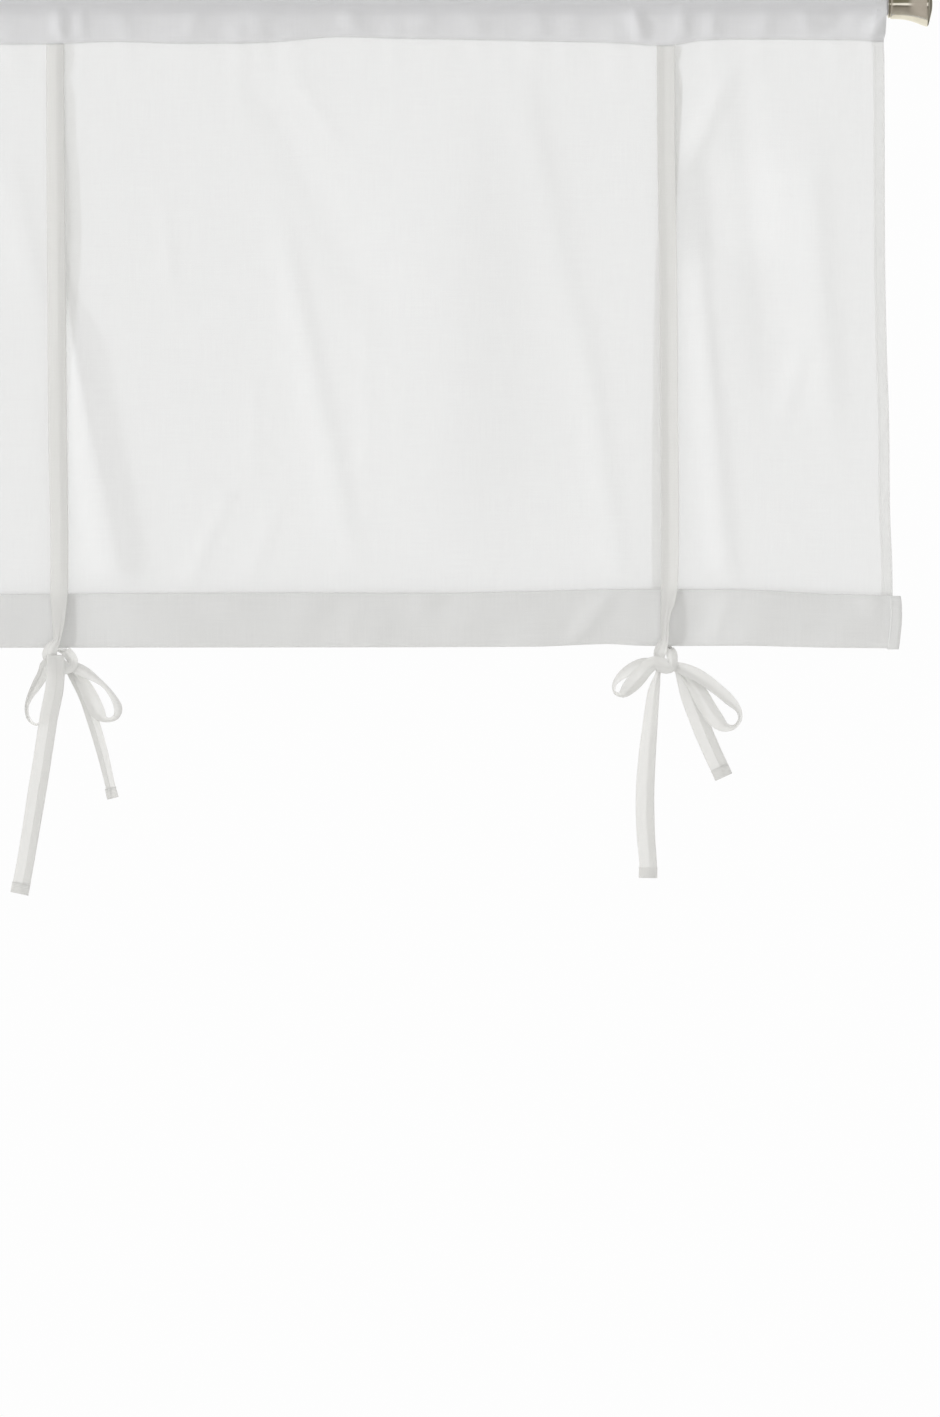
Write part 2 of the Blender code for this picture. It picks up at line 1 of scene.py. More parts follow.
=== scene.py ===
# Roll-up curtain on a rod: the looks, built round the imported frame.
# Lengths are in millimetres until a mesh is made. The front faces -Y, and x is across the curtain.
import math

import bmesh
import bpy
import numpy as np
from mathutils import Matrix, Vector


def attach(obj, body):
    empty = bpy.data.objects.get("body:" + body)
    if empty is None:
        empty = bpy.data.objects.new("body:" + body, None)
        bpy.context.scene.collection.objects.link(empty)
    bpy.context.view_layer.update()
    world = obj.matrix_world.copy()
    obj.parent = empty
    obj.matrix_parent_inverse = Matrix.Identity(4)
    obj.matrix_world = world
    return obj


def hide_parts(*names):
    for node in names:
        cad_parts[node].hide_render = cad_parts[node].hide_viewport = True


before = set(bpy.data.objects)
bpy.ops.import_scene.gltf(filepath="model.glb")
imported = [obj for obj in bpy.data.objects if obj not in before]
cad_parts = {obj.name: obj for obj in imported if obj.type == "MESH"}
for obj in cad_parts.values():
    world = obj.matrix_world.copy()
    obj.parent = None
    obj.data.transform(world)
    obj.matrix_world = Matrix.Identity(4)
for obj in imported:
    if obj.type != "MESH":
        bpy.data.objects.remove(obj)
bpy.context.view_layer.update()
mm = 0.001
rng = np.random.default_rng(7)
print("frame loaded")

# Helpers


def alongTable(rows, places):
    # Rows of a table at places along its first column, on a smooth curve through the rows
    rows = np.array(rows, float)
    places = np.asarray(places, float)
    spots = np.clip(places.ravel(), rows[0, 0], rows[-1, 0])
    last = len(rows) - 1
    i = np.clip(np.searchsorted(rows[:, 0], spots, side="right") - 1, 0, last - 1)
    before, start = rows[np.maximum(i - 1, 0)], rows[i]
    end, after = rows[i + 1], rows[np.minimum(i + 2, last)]
    step = end[:, :1] - start[:, :1]
    t = (spots[:, None] - start[:, :1]) / step
    slopeStart = (end - before) / (end[:, :1] - before[:, :1]) * step
    slopeEnd = (after - start) / (after[:, :1] - start[:, :1]) * step
    value = (2 * t**3 - 3 * t**2 + 1) * start + (t**3 - 2 * t**2 + t) * slopeStart
    value += (3 * t**2 - 2 * t**3) * end + (t**3 - t**2) * slopeEnd
    return value[:, 1:].reshape(*places.shape, -1)


def heightAt(rows, x):
    return alongTable(rows, x)[..., 0]


def halfWidthAt(rows, z):
    return alongTable([(-top, half) for top, half in rows], -np.asarray(z))[..., 0]


def ease(share):
    share = np.clip(share, 0, 1)
    return share * share * (3 - 2 * share)


def bell(distance, halfWidth):
    return np.exp(-((distance / halfWidth) ** 2))


def newPiece(name, data):
    piece = bpy.data.objects.new(name, data)
    bpy.context.scene.collection.objects.link(piece)
    return piece


def gridMesh(name, points, uvs, material):
    # Mesh of a grid of points (rows, columns, 3), in millimetres, with a UV map in metres
    rows, columns = points.shape[:2]
    index = np.arange(rows * columns).reshape(rows, columns)
    corners = np.stack([index[:-1, :-1], index[:-1, 1:], index[1:, 1:], index[1:, :-1]], axis=-1)
    faces = corners.reshape(-1, 4)
    mesh = bpy.data.meshes.new(name)
    mesh.from_pydata((points.reshape(-1, 3) * mm).tolist(), [], faces.tolist())
    layer = mesh.uv_layers.new(name="threads")
    layer.data.foreach_set("uv", uvs.reshape(-1, 2)[faces.ravel()].ravel() * mm)
    mesh.shade_smooth()
    mesh.materials.append(material)
    return newPiece(name, mesh)


def thicken(piece, thickness):
    wall = piece.modifiers.new("thickness", "SOLIDIFY")
    wall.thickness = thickness * mm
    wall.offset = 0


# Materials


def newMaterial(name):
    material = bpy.data.materials.new(name)
    material.use_nodes = True
    tree = material.node_tree
    return material, tree, tree.nodes["Principled BSDF"]


def nodeGroup(name, treeKind, inputs, outputs):
    # A group with inputs (label, kind, value) and outputs (label, kind)
    group = bpy.data.node_groups.new(name, treeKind)
    for label, kind, value in inputs:
        socket = group.interface.new_socket(name=label, in_out="INPUT", socket_type="NodeSocket" + kind)
        if value is not None:
            socket.default_value = value
    for label, kind in outputs:
        group.interface.new_socket(name=label, in_out="OUTPUT", socket_type="NodeSocket" + kind)
    return group, group.nodes.new("NodeGroupInput"), group.nodes.new("NodeGroupOutput")


def feed(tree, node, values):
    # Sets a node's inputs, by label or number, or links them to another node's output
    for key, value in values.items():
        socket = node.inputs[key]
        if isinstance(value, bpy.types.NodeSocket):
            tree.links.new(value, socket)
        else:
            socket.default_value = (*value, 1) if socket.type == "RGBA" else value


def addNode(tree, kind, inputs=None, **settings):
    node = tree.nodes.new(kind)
    for name, value in settings.items():
        setattr(node, name, value)
    feed(tree, node, inputs or {})
    return node


def chain(tree, *nodes):
    # Links each node's first output to the next one's first input
    for first, second in zip(nodes, nodes[1:]):
        tree.links.new(first.outputs[0], second.inputs[0])


def endGroup(group, nodes, material, out):
    # Chains the nodes of a Geometry Nodes group and ends it in real, smooth geometry with its material
    real = addNode(group, "GeometryNodeRealizeInstances")
    smooth = addNode(group, "GeometryNodeSetShadeSmooth")
    paint = addNode(group, "GeometryNodeSetMaterial", {"Material": material})
    chain(group, *nodes, real, smooth, paint, out)


def mathNode(tree, operation, *values):
    return addNode(tree, "ShaderNodeMath", dict(enumerate(values)), operation=operation).outputs[0]


def stretchedNoise(tree, coordinates, scale, detail):
    mapping = addNode(tree, "ShaderNodeMapping", {"Vector": coordinates, "Scale": scale})
    values = {"Vector": mapping.outputs["Vector"], "Scale": 1.0, "Detail": detail}
    return addNode(tree, "ShaderNodeTexNoise", values).outputs["Fac"]


def twoTone(tree, factor, dark, light, low=0.0, high=1.0):
    ramp = addNode(tree, "ShaderNodeValToRGB", {"Fac": factor})
    for step, place, colour in zip(ramp.color_ramp.elements, (low, high), (dark, light)):
        step.position = place
        step.color = (*colour, 1)
    return ramp.outputs["Color"]


def relief(tree, height, strength, distance):
    values = {"Height": height, "Strength": strength, "Distance": distance * mm}
    return addNode(tree, "ShaderNodeBump", values).outputs["Normal"]


def weaveGroup():
    # Plain weave on the piece's own UV map, with slubs: thicker stretches of thread
    tree, given, out = nodeGroup(
        "plainWeave",
        "ShaderNodeTree",
        [("Threads per metre", "Float", 2200.0), ("Slub", "Float", 0.2), ("Crumple", "Float", 0.5)],
        [("Height", "Float"), ("Cover", "Float"), ("Tone", "Float")],
    )

    def calc(operation, *values):
        return mathNode(tree, operation, *values)

    uv = addNode(tree, "ShaderNodeUVMap", uv_map="threads").outputs["UV"]
    split = addNode(tree, "ShaderNodeSeparateXYZ", {0: uv})
    waves = []
    for axis in ("X", "Y"):
        turns = calc("MULTIPLY", split.outputs[axis], given.outputs["Threads per metre"])
        waves.append(calc("SINE", calc("MULTIPLY", turns, math.pi)))
    over = calc("MULTIPLY_ADD", calc("MULTIPLY", *waves), 0.5, 0.5)
    filled = calc("MULTIPLY", *[calc("POWER", calc("ABSOLUTE", wave), 0.5) for wave in waves])
    warpSlubs = stretchedNoise(tree, uv, (900.0, 22.0, 1.0), 2.0)
    weftSlubs = stretchedNoise(tree, uv, (22.0, 900.0, 1.0), 2.0)
    slubs = calc("SUBTRACT", calc("ADD", warpSlubs, weftSlubs), 1.0)
    slubs = calc("MULTIPLY", slubs, given.outputs["Slub"])
    crumple = stretchedNoise(tree, uv, (60.0, 26.0, 1.0), 3.0)
    crumple = calc("MULTIPLY", calc("SUBTRACT", crumple, 0.5), given.outputs["Crumple"])
    height = calc("MULTIPLY_ADD", over, 0.35, calc("MULTIPLY", filled, 0.4))
    height = calc("ADD", calc("ADD", height, slubs), calc("MULTIPLY", crumple, 6.0))
    cover = calc("MULTIPLY_ADD", slubs, 0.5, calc("MULTIPLY_ADD", filled, 0.5, 0.72))
    # Tone follows the slubs, and a little the crumples too: lighter on their raised parts, painted light and
    # shade of the crumples
    tone = calc("MULTIPLY_ADD", slubs, 0.12, calc("MULTIPLY_ADD", crumple, 0.04, 1.0))
    feed(tree, out, {"Height": height, "Cover": cover, "Tone": tone})
    return tree


def clothMaterial(name, colour, threads, slub, crumple, cover, bump, glow):
    # Cover is the share of a face that is thread, and glow the share of that which lets light through
    material, tree, body = newMaterial(name)
    values = {"Threads per metre": threads, "Slub": slub, "Crumple": crumple}
    woven = addNode(tree, "ShaderNodeGroup", values, node_tree=plainWeave).outputs
    values = {"Factor": 1.0, "A": colour, "B": woven["Tone"]}
    tint = addNode(tree, "ShaderNodeMix", values, data_type="RGBA", blend_type="MULTIPLY")
    feed(tree, body, {"Roughness": 0.88, "Sheen Weight": 0.12, "Specular IOR Level": 0.2})
    feed(tree, body, {"Base Color": tint.outputs["Result"]})
    feed(tree, body, {"Normal": relief(tree, woven["Height"], 0.6, bump)})
    lets = cover * glow
    blocks = mathNode(tree, "MULTIPLY", woven["Cover"], (cover - lets) / (1 - lets))
    feed(tree, body, {"Alpha": blocks})
    through = addNode(tree, "ShaderNodeBsdfTranslucent", {"Color": colour})
    sheer = addNode(tree, "ShaderNodeMixShader", {0: lets, 1: body.outputs[0], 2: through.outputs[0]})
    feed(tree, tree.nodes["Material Output"], {"Surface": sheer.outputs[0]})
    return material


def threadMaterial():
    material, tree, body = newMaterial("sewingThread")
    place = addNode(tree, "ShaderNodeTexCoord").outputs["Object"]
    ply = stretchedNoise(tree, place, (2500.0, 2500.0, 2500.0), 2.0)
    tone = twoTone(tree, ply, (0.62, 0.62, 0.61), (0.78, 0.78, 0.77))
    feed(tree, body, {"Roughness": 0.6, "Base Color": tone})
    return material


def nickelMaterial(name, roughness, dark, light, metallic=1.0):
    material, tree, body = newMaterial(name)
    place = addNode(tree, "ShaderNodeTexCoord").outputs["Object"]
    turned = stretchedNoise(tree, place, (2600.0, 90.0, 90.0), 3.0)  # fine rings left by the lathe
    smudges = stretchedNoise(tree, place, (70.0, 70.0, 70.0), 3.0)
    rough = mathNode(tree, "MULTIPLY_ADD", turned, 0.05, roughness)
    rough = mathNode(tree, "MULTIPLY_ADD", smudges, 0.08, rough)
    feed(tree, body, {"Metallic": metallic, "Roughness": rough})
    feed(tree, body, {"Base Color": twoTone(tree, smudges, dark, light, 0.3, 0.7)})
    feed(tree, body, {"Normal": relief(tree, turned, 0.25, 0.03)})
    return material


plainWeave = weaveGroup()
# The panel, pocket and roll are one cloth. The pocket and roll copies have a lighter colour, more cover and,
# on the roll, less glow, so these parts come out lighter: painted light, not a different cloth
cottons = {
    # colour, threads a metre, slub, crumple, cover, bump in mm, glow
    "sheerCotton": ((0.79, 0.79, 0.785), 2200.0, 0.16, 0.8, 0.42, 0.12, 0.22),
    "pocketCottonPaintedLight": ((0.845, 0.845, 0.85), 2200.0, 0.16, 0.8, 0.56, 0.12, 0.22),
    "rolledCottonPaintedLight": ((0.832, 0.832, 0.822), 2200.0, 0.16, 0.25, 0.88, 0.12, 0.12),
    "ribbonCotton": ((0.935, 0.932, 0.915), 1500.0, 0.16, 0.25, 0.72, 0.14, 0.14),
    # turned hems and back ribbons: a copy of the ribbon cotton, thinner and more translucent so these parts
    # look lit by the wall behind the cloth, painted backlight
    "backCottonPaintedLight": ((0.93, 0.926, 0.905), 1500.0, 0.16, 0.25, 0.4, 0.14, 0.45),
}
cotton = {name: clothMaterial(name, *values) for name, values in cottons.items()}
sewingThread = threadMaterial()
satinNickel = nickelMaterial("satinNickel", 0.05, (0.61, 0.58, 0.52), (0.69, 0.66, 0.60))
rodNickel = nickelMaterial("rodNickel", 0.5, (0.62, 0.62, 0.65), (0.68, 0.68, 0.71), metallic=0.2)
print("materials made")

# Curtain cloth: one sheet from its tucked top edge behind the seam, over the rod, down the panel
# and round the roll. Sizes and tables repeat those of the solids.

cloth = {
    "thickness": 0.35,
    "halfWidth": 600.5,
    "edgeColumns": (14, 9, 5, 2, 0),  # in from the edge
    "pocketRadius": 13.4,  # middle of the sheet where it lies on the rod
    "tuck": 1.4,  # top edge runs down behind the seam
    "seamDepth": (0.75, -0.25),  # back and front layers at the seam, in Y
    "hemWidth": 12.5,
    "hemOffset": 0.7,  # of its turned layer
    "hemThreads": 30,  # moves the weave on where the hem turns
    "rollDepth": 17.0,
    "rollSquareness": 3.0,
    "rollSpread": 1.03,  # the roll is wider than the panel
    "rollDent": 6.5,
    "rollDentWidths": (11.0, 60.0),  # on its left and on its right
    "rollDentAside": 21.5,  # right of each tie's middle
    "rollBack": 0.6,
    "rollStart": 150.0,  # degrees
    "rollCalm": 20.0,  # no swellings this near a tie
    "outerTurn": (570.0, 56),  # where the outer turn ends, in degrees, and its rows
    "innerTurns": (1500.0, 31),
    "turnGap": 2.3,  # between one turn and the next, from turnStart on
    "turnStart": 300.0,  # degrees
    "turnInset": 0.2,
    "creviceDrop": 8.0,  # the panel runs this far down behind the roll's top
    "pocketRows": (9, 14, 10),  # up the back, over the rod, down the front
    "panelRows": 84,
    "panelCrowding": 1.12,  # rows stand closer near the seam
    "gatherFade": (4.0, 26.0),  # below the seam
    "settle": 10.0,  # the front layer comes back to the panel's plane over this
    "columnStep": 7.0,
    "tieColumnStep": 4.0,
    "tieZone": (40, 60),  # finer columns, left and right of a tie
    "tieX": 349.5,
    "foldReach": (0.35, 0.6, 0.5),  # how far a fold runs on past its ends, its rise and its fall
    "foldSteep": 0.6,  # the flank that faces right is narrower
    "calm": (45.0, 30.0, 14.0),  # no folds this near the seam, the roll and the ties
}
seamRows = [
    # x, z
    (-602, -42.5), (-366, -45.5), (-286, -42.5), (-206, -44.5), (-109, -43.5), (-29, -37.0),
    (34, -38.5), (194, -41.5), (297, -44.0), (352, -47.0), (398, -40.5), (555, -40.5), (602, -42.5),
]
rollTopRows = [
    # x, z
    (-620, -676.0), (-330, -673.7), (-126, -672.5), (114, -672.5), (194, -670.7), (314, -668.3),
    (434, -669.3), (515, -673.6), (590, -676.0), (620, -679.5),
]
rollBottomRows = [
    # x, z
    (-620, -737.0), (-246, -736.5), (194, -735.5), (275, -732.5), (315, -734.5), (395, -734.5),
    (435, -734.5), (515, -736.5), (590, -737.5), (620, -739.0),
]
edgeRows = [
    # z, half width
    (14, 602.4), (-11, 602.2), (-15, 601.2), (-34, 600.6), (-42, 598.6), (-60, 599.5), (-300, 600.5),
    (-400, 602.5), (-480, 605.0), (-580, 606.0), (-640, 608.5), (-680, 609.0),
]
rollEdgeRows = [
    # z, half width
    (-668, 613.5), (-676, 617.0), (-690, 618.5), (-706, 618.5), (-722, 617.0), (-740, 615.0),
]
foldRows = [
    # top x, top z, bottom x, bottom z, top half width, bottom half width, height
    (-338, -330, -271, -665, 10, 40, 10.0),
    (-222, -240, -216, -310, 7, 8, 1.0),
    (-148, -560, -196, -672, 8, 12, 1.8),
    (-98, -590, -130, -672, 9, 12, 1.4),
    (-75, -78, -28, -152, 8, 10, 1.2),
    (-80, -290, -18, -585, 18, 24, 3.1),
    (-118, -90, 10, -330, 26, 40, -1.8),
    (9, -335, 9, -545, 7, 7, 0.7),
    (-119, -450, -121, -535, 7, 7, 0.8),
    (110, -150, 90, -560, 130, 130, 9.0),
    (-520, -120, -480, -640, 34, 40, 3.6),
    (-400, -190, -372, -320, 26, 26, 2.3),
    (403, -180, 409, -280, 58, 58, -10.5),
    (389, -300, 416, -672, 15, 20, 3.6),
    (424, -80, 380, -180, 16, 16, 2.8),
    (440, -130, 470, -420, 22, 34, -3.1),
    (505, -400, 482, -470, 10, 14, 2.0),
    (520, -200, 535, -450, 22, 24, 3.0),
    (190, -110, 250, -400, 24, 36, 2.5),
    (262, -420, 296, -672, 16, 24, 2.1),
]
puckerRows = [
    # x at the seam, half width, height, lean: how much further right it is on the rod
    (-500, 20, 2.4, 10), (-343, 8, 3.4, 0), (-316, 8, 2.2, -2), (-262, 10, 1.9, -12), (-196, 8, 2.0, 10),
    (-120, 16, 2.3, 8), (-6, 11, 3.2, -6), (69, 14, 2.2, 8), (130, 22, 2.3, 0), (212, 9, 1.9, -14),
    (322, 9, 5.0, -10), (371, 8, 2.4, -4), (399, 8, 2.0, 6), (464, 8, 2.4, 2), (512, 8, 2.2, -4),
    (543, 12, -3.0, 8), (584, 13, 5.0, 22),
]


def nearTie(x, halfWidth):
    return bell(np.abs(x) - cloth["tieX"], halfWidth)


def foldHeight(x, z):
    # How far the hanging cloth stands forward of its own plane
    total = np.zeros(np.broadcast(x, z).shape)
    lead, rise, fall = cloth["foldReach"]
    for topX, topZ, footX, footZ, topWide, footWide, height in foldRows:
        share = (topZ - z) / (topZ - footZ)
        wide = topWide + (footWide - topWide) * np.clip(share, 0, 1)
        fade = ease((share + lead) / rise) * ease((1 + lead - share) / fall)
        beside = x - topX - (footX - topX) * share
        wide = np.where(beside * height > 0, wide * cloth["foldSteep"], wide)
        total += height * fade * bell(beside, wide)
    calmTop, calmFoot, calmTie = cloth["calm"]
    top = ease((heightAt(seamRows, x) - z) / calmTop)
    foot = ease((z - heightAt(rollTopRows, x)) / calmFoot)
    return total * top * foot * (1 - nearTie(x, calmTie))


def clothColumns():
    # Across the cloth: place from -1 to 1, distance in from an edge, and depth behind the sheet
    wide = cloth["halfWidth"]
    edge = wide - np.array(cloth["edgeColumns"])
    first, last = cloth["tieX"] - cloth["tieZone"][0], cloth["tieX"] + cloth["tieZone"][1]
    right = [
        np.arange(0, first, cloth["columnStep"]),
        np.arange(first, last, cloth["tieColumnStep"]),
        np.arange(last, edge[0], cloth["columnStep"]),
        edge,
    ]
    right = np.unique(np.concatenate(right).round(3))
    main = np.concatenate([-right[:0:-1], right]) / wide
    deep, half = cloth["hemOffset"], cloth["hemOffset"] / 2
    hem = [(0.0, 0.0)]  # distance in from the edge, depth
    for turn in (45, 90, 135):
        angle = math.radians(turn)
        hem.append((-half * math.sin(angle), half - half * math.cos(angle)))
    hem += [(inset, deep) for inset in (0.0, 4.0, 8.0, cloth["hemWidth"] - 0.6, cloth["hemWidth"])]
    columns = [(-1, inset, depth) for inset, depth in hem[:0:-1]]
    columns += [(place, 0.0, 0.0) for place in main]
    columns += [(1, inset, depth) for inset, depth in hem[1:]]
    return np.array(columns)


def pocketPath(x):
    # (y, z) rows from the tucked top edge up the pocket's back, over the rod and down its front
    seam = heightAt(seamRows, x)
    backY, frontY = cloth["seamDepth"]
    radius = cloth["pocketRadius"]
    backRows, arcRows, frontRows = cloth["pocketRows"]
    rows = [(backY + 0 * x, seam - cloth["tuck"] * share) for share in (1.0, 0.5)]

    def tangent(y, side):
        far = np.hypot(y, seam)
        return np.arctan2(seam, y) + side * np.arccos(radius / far)

    backAngle, frontAngle = tangent(backY, 1), tangent(frontY, -1) + 2 * math.pi

    def between(y, angle, t, back):
        # Point between the seam and the rod, pushed back
        return y + (np.cos(angle) * radius - y) * t + back, seam + (np.sin(angle) * radius - seam) * t

    for n in range(backRows):
        t = n / backRows
        ripple = 0.5 * pocketRipple(x, t) + 0.2
        rows.append(between(backY, backAngle, t, ripple * 4 * t * (1 - t)))
    for n in range(arcRows + 1):
        angle = backAngle + (frontAngle - backAngle) * n / arcRows
        rows.append((np.cos(angle) * radius, np.sin(angle) * radius))
    for n in range(1, frontRows):
        t = 1 - n / frontRows
        ripple = leaning(puckerRows, x, t) * 4 * t * (1 - t)
        ripple = ripple + pocketRipple(x, t) * ease(t / 0.12) * ease((1 - t) / 0.5)
        rows.append(between(frontY, frontAngle, t, -ripple))
    return rows


rippleRows = [
    # x, half width, height at the seam, lean
    (x, rng.uniform(6.0, 13.0), rng.uniform(0.3, 2.0), rng.uniform(-12, 12))
    for x in np.arange(-590, 592, 23) + rng.uniform(-9, 9, 52)
]


def leaning(rows, x, t):
    # Height of swellings that lean over, t from 0 at the seam to 1 on the rod
    return sum(height * bell(x - middle - lean * t, wide) for middle, wide, height, lean in rows)


def pocketRipple(x, t):
    # Small gathers that rise from the seam
    return leaning(rippleRows, x, t) * (1 - t)


def panelPath(x):
    seam = heightAt(seamRows, x)
    crevice = heightAt(rollTopRows, x) - cloth["creviceDrop"]
    start, fade = cloth["gatherFade"]
    rows = []
    for n in range(cloth["panelRows"] + 1):
        share = (n / cloth["panelRows"]) ** cloth["panelCrowding"]
        z = seam + (crevice - seam) * share
        below = seam - z
        gathers = pocketRipple(x, 0.0) * np.exp(-below / fade) * ease(below / start)
        settle = cloth["seamDepth"][1] * np.exp(-below / cloth["settle"])
        rows.append((settle - foldHeight(x, z) - gathers, z))
    return rows


rollDentRows = [
    # x, height as a share of the roll's from its middle, half width, half height, how far forward, lean
    (x, rng.uniform(-0.4, 0.4), rng.uniform(11, 30), rng.uniform(0.2, 0.6), rng.uniform(0.3, 1.5), 20)
    for x in np.arange(-585, 590, 47) + rng.uniform(-16, 16, 25)
]
rollDentRows += [(266, 0.0, 12, 0.6, 1.8, 50), (520, 0.45, 50, 0.3, -1.0, 0), (585, 0.3, 10, 0.3, 1.2, 0)]


def rollDents(x, level):
    # Soft uneven swellings of the roll's front
    total = 0 * x
    for middle, height, wide, tall, forward, lean in rollDentRows:
        beside = x - middle - lean * (level - height)
        total = total + forward * bell(beside, wide) * bell(level - height, tall)
    return total * (1 - nearTie(x, cloth["rollCalm"]))


def rollPath(x):
    # Turns of the roll: down its back, under, up the front, over the top and on inwards
    top, bottom = heightAt(rollTopRows, x), heightAt(rollBottomRows, x)
    rollX = x * cloth["rollSpread"]
    beside = rollX - np.sign(x) * cloth["tieX"] - cloth["rollDentAside"]
    dentLeft, dentRight = cloth["rollDentWidths"]
    dent = bell(beside, np.where(beside < 0, dentLeft, dentRight))
    depth = cloth["rollDepth"] - cloth["rollDent"] * dent
    power = 2 / cloth["rollSquareness"]
    rows = []
    (outerEnd, outerRows), (innerEnd, innerRows) = cloth["outerTurn"], cloth["innerTurns"]
    outer = np.linspace(cloth["rollStart"], outerEnd, outerRows + 1)[1:]
    inner = np.linspace(outerEnd, innerEnd, innerRows + 1)[1:]
    for degrees in np.concatenate([outer, inner]):
        inset = cloth["turnInset"] + cloth["turnGap"] * max(0.0, degrees - cloth["turnStart"]) / 360
        run, rise = math.cos(math.radians(degrees)), math.sin(math.radians(degrees))
        forward = math.copysign(abs(run) ** power, run) * (depth / 2 - inset * depth / cloth["rollDepth"])
        upward = math.copysign(abs(rise) ** power, rise) * ((top - bottom) / 2 - inset)
        front = ease(forward / (cloth["rollDepth"] / 4)) * rollDents(rollX, upward / (top - bottom))
        y = cloth["rollBack"] - depth / 2 - forward - front
        rows.append((y, (top + bottom) / 2 + upward, degrees))
    return rows


def clothGrid():
    columns = clothColumns()
    place, inset, depth = columns.T
    x = place * cloth["halfWidth"]
    hanging = pocketPath(x) + panelPath(x)
    rolled = rollPath(x)
    y = np.array([row[0] for row in hanging] + [row[0] for row in rolled])
    z = np.array([row[1] for row in hanging] + [row[1] for row in rolled])
    wide = halfWidthAt(edgeRows, z)
    turnsIn = np.array([0.0] * len(hanging) + [row[2] - cloth["rollStart"] for row in rolled])[:, None]
    rollWide = halfWidthAt(rollEdgeRows, z)
    # Inner turns end unevenly, a little inside the outer one
    rollWide -= ease((turnsIn - 330) / 120) * (1.6 + 1.4 * np.sin(np.radians(turnsIn * 0.83)))
    wide = wide + (rollWide - wide) * ease((turnsIn - 10) / 70)
    downY, downZ = np.gradient(y, axis=0), np.gradient(z, axis=0)
    length = np.hypot(downY, downZ)
    backY, backZ = -downZ / length, downY / length
    points = np.empty((*y.shape, 3))
    points[..., 0] = place * wide - np.sign(place) * inset * (np.abs(place) == 1)
    points[..., 1] = y + backY * depth
    points[..., 2] = z + backZ * depth
    steps = np.hypot(np.diff(y[:, len(x) // 2]), np.diff(z[:, len(x) // 2]))
    run = np.concatenate([[0.0], np.cumsum(steps)])
    uvs = np.empty((*y.shape, 2))
    uvs[..., 0] = points[..., 0] + np.sign(place) * depth * cloth["hemThreads"]
    uvs[..., 1] = run[:, None]
    return points, uvs, (depth == 0), np.stack([backY, backZ], axis=-1), run[-1], len(hanging)


clothPoints, clothUvs, clothMain, clothBack, clothLength, rollFirstRow = clothGrid()
curtainCloth = gridMesh("curtainCloth", clothPoints, clothUvs, cotton["sheerCotton"])
for name in ("rolledCottonPaintedLight", "pocketCottonPaintedLight", "backCottonPaintedLight"):
    curtainCloth.data.materials.append(cotton[name])
seamRow = 2 + sum(cloth["pocketRows"])
clothRows = np.arange(len(clothPoints) - 1)
# Pocket rows take material 2 and roll rows material 1, the lighter copies of the cloth: painted light
rowMaterial = np.where(clothRows < seamRow, 2, np.where(clothRows < rollFirstRow, 0, 1))
faceMaterial = np.tile(rowMaterial[:, None], (1, clothPoints.shape[1] - 1))
# The turned hem layer takes the painted-backlight copy of the cotton, which makes the hem lighter
turnedIn = np.zeros(clothPoints.shape[1] - 1, bool)
turnedIn[:4] = turnedIn[-4:] = True
faceMaterial[(faceMaterial == 0) & turnedIn] = 3
curtainCloth.data.polygons.foreach_set("material_index", faceMaterial.ravel().astype(np.int32))
thicken(curtainCloth, cloth["thickness"])
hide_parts("curtain_cloth")
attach(curtainCloth, "root")
print("cloth made, cut length", round(clothLength), "mm")

# Ribbon ties: routes repeat those of the solids

ribbon = {
    "width": 21.0,
    "thickness": 0.4,
    "step": 3.0,
    "across": 17,
    "bow": 0.012,
    "slack": 1.5,  # narrower than its width by more than this, it is gathered
    "pleats": 1.7,
    "pleatHeight": 0.5,
    "pleatDrift": 0.03,  # how fast pleats wander along it
    "turnedIn": 9.0,  # one long edge is folded back by this
    "turnedDepth": 0.5,
    "turnedThreads": 60,  # moves the weave on where it is folded
    "endHem": 12.0,
    "endHemDepth": 1.0,
    "endFold": [(0.35, 0.15), (0.5, 0.4), (0.35, 0.7)],  # on past the end, and behind it
    "endFoldLength": 1.4,
    "endStitches": 1.2,  # in from the hem's edge
}
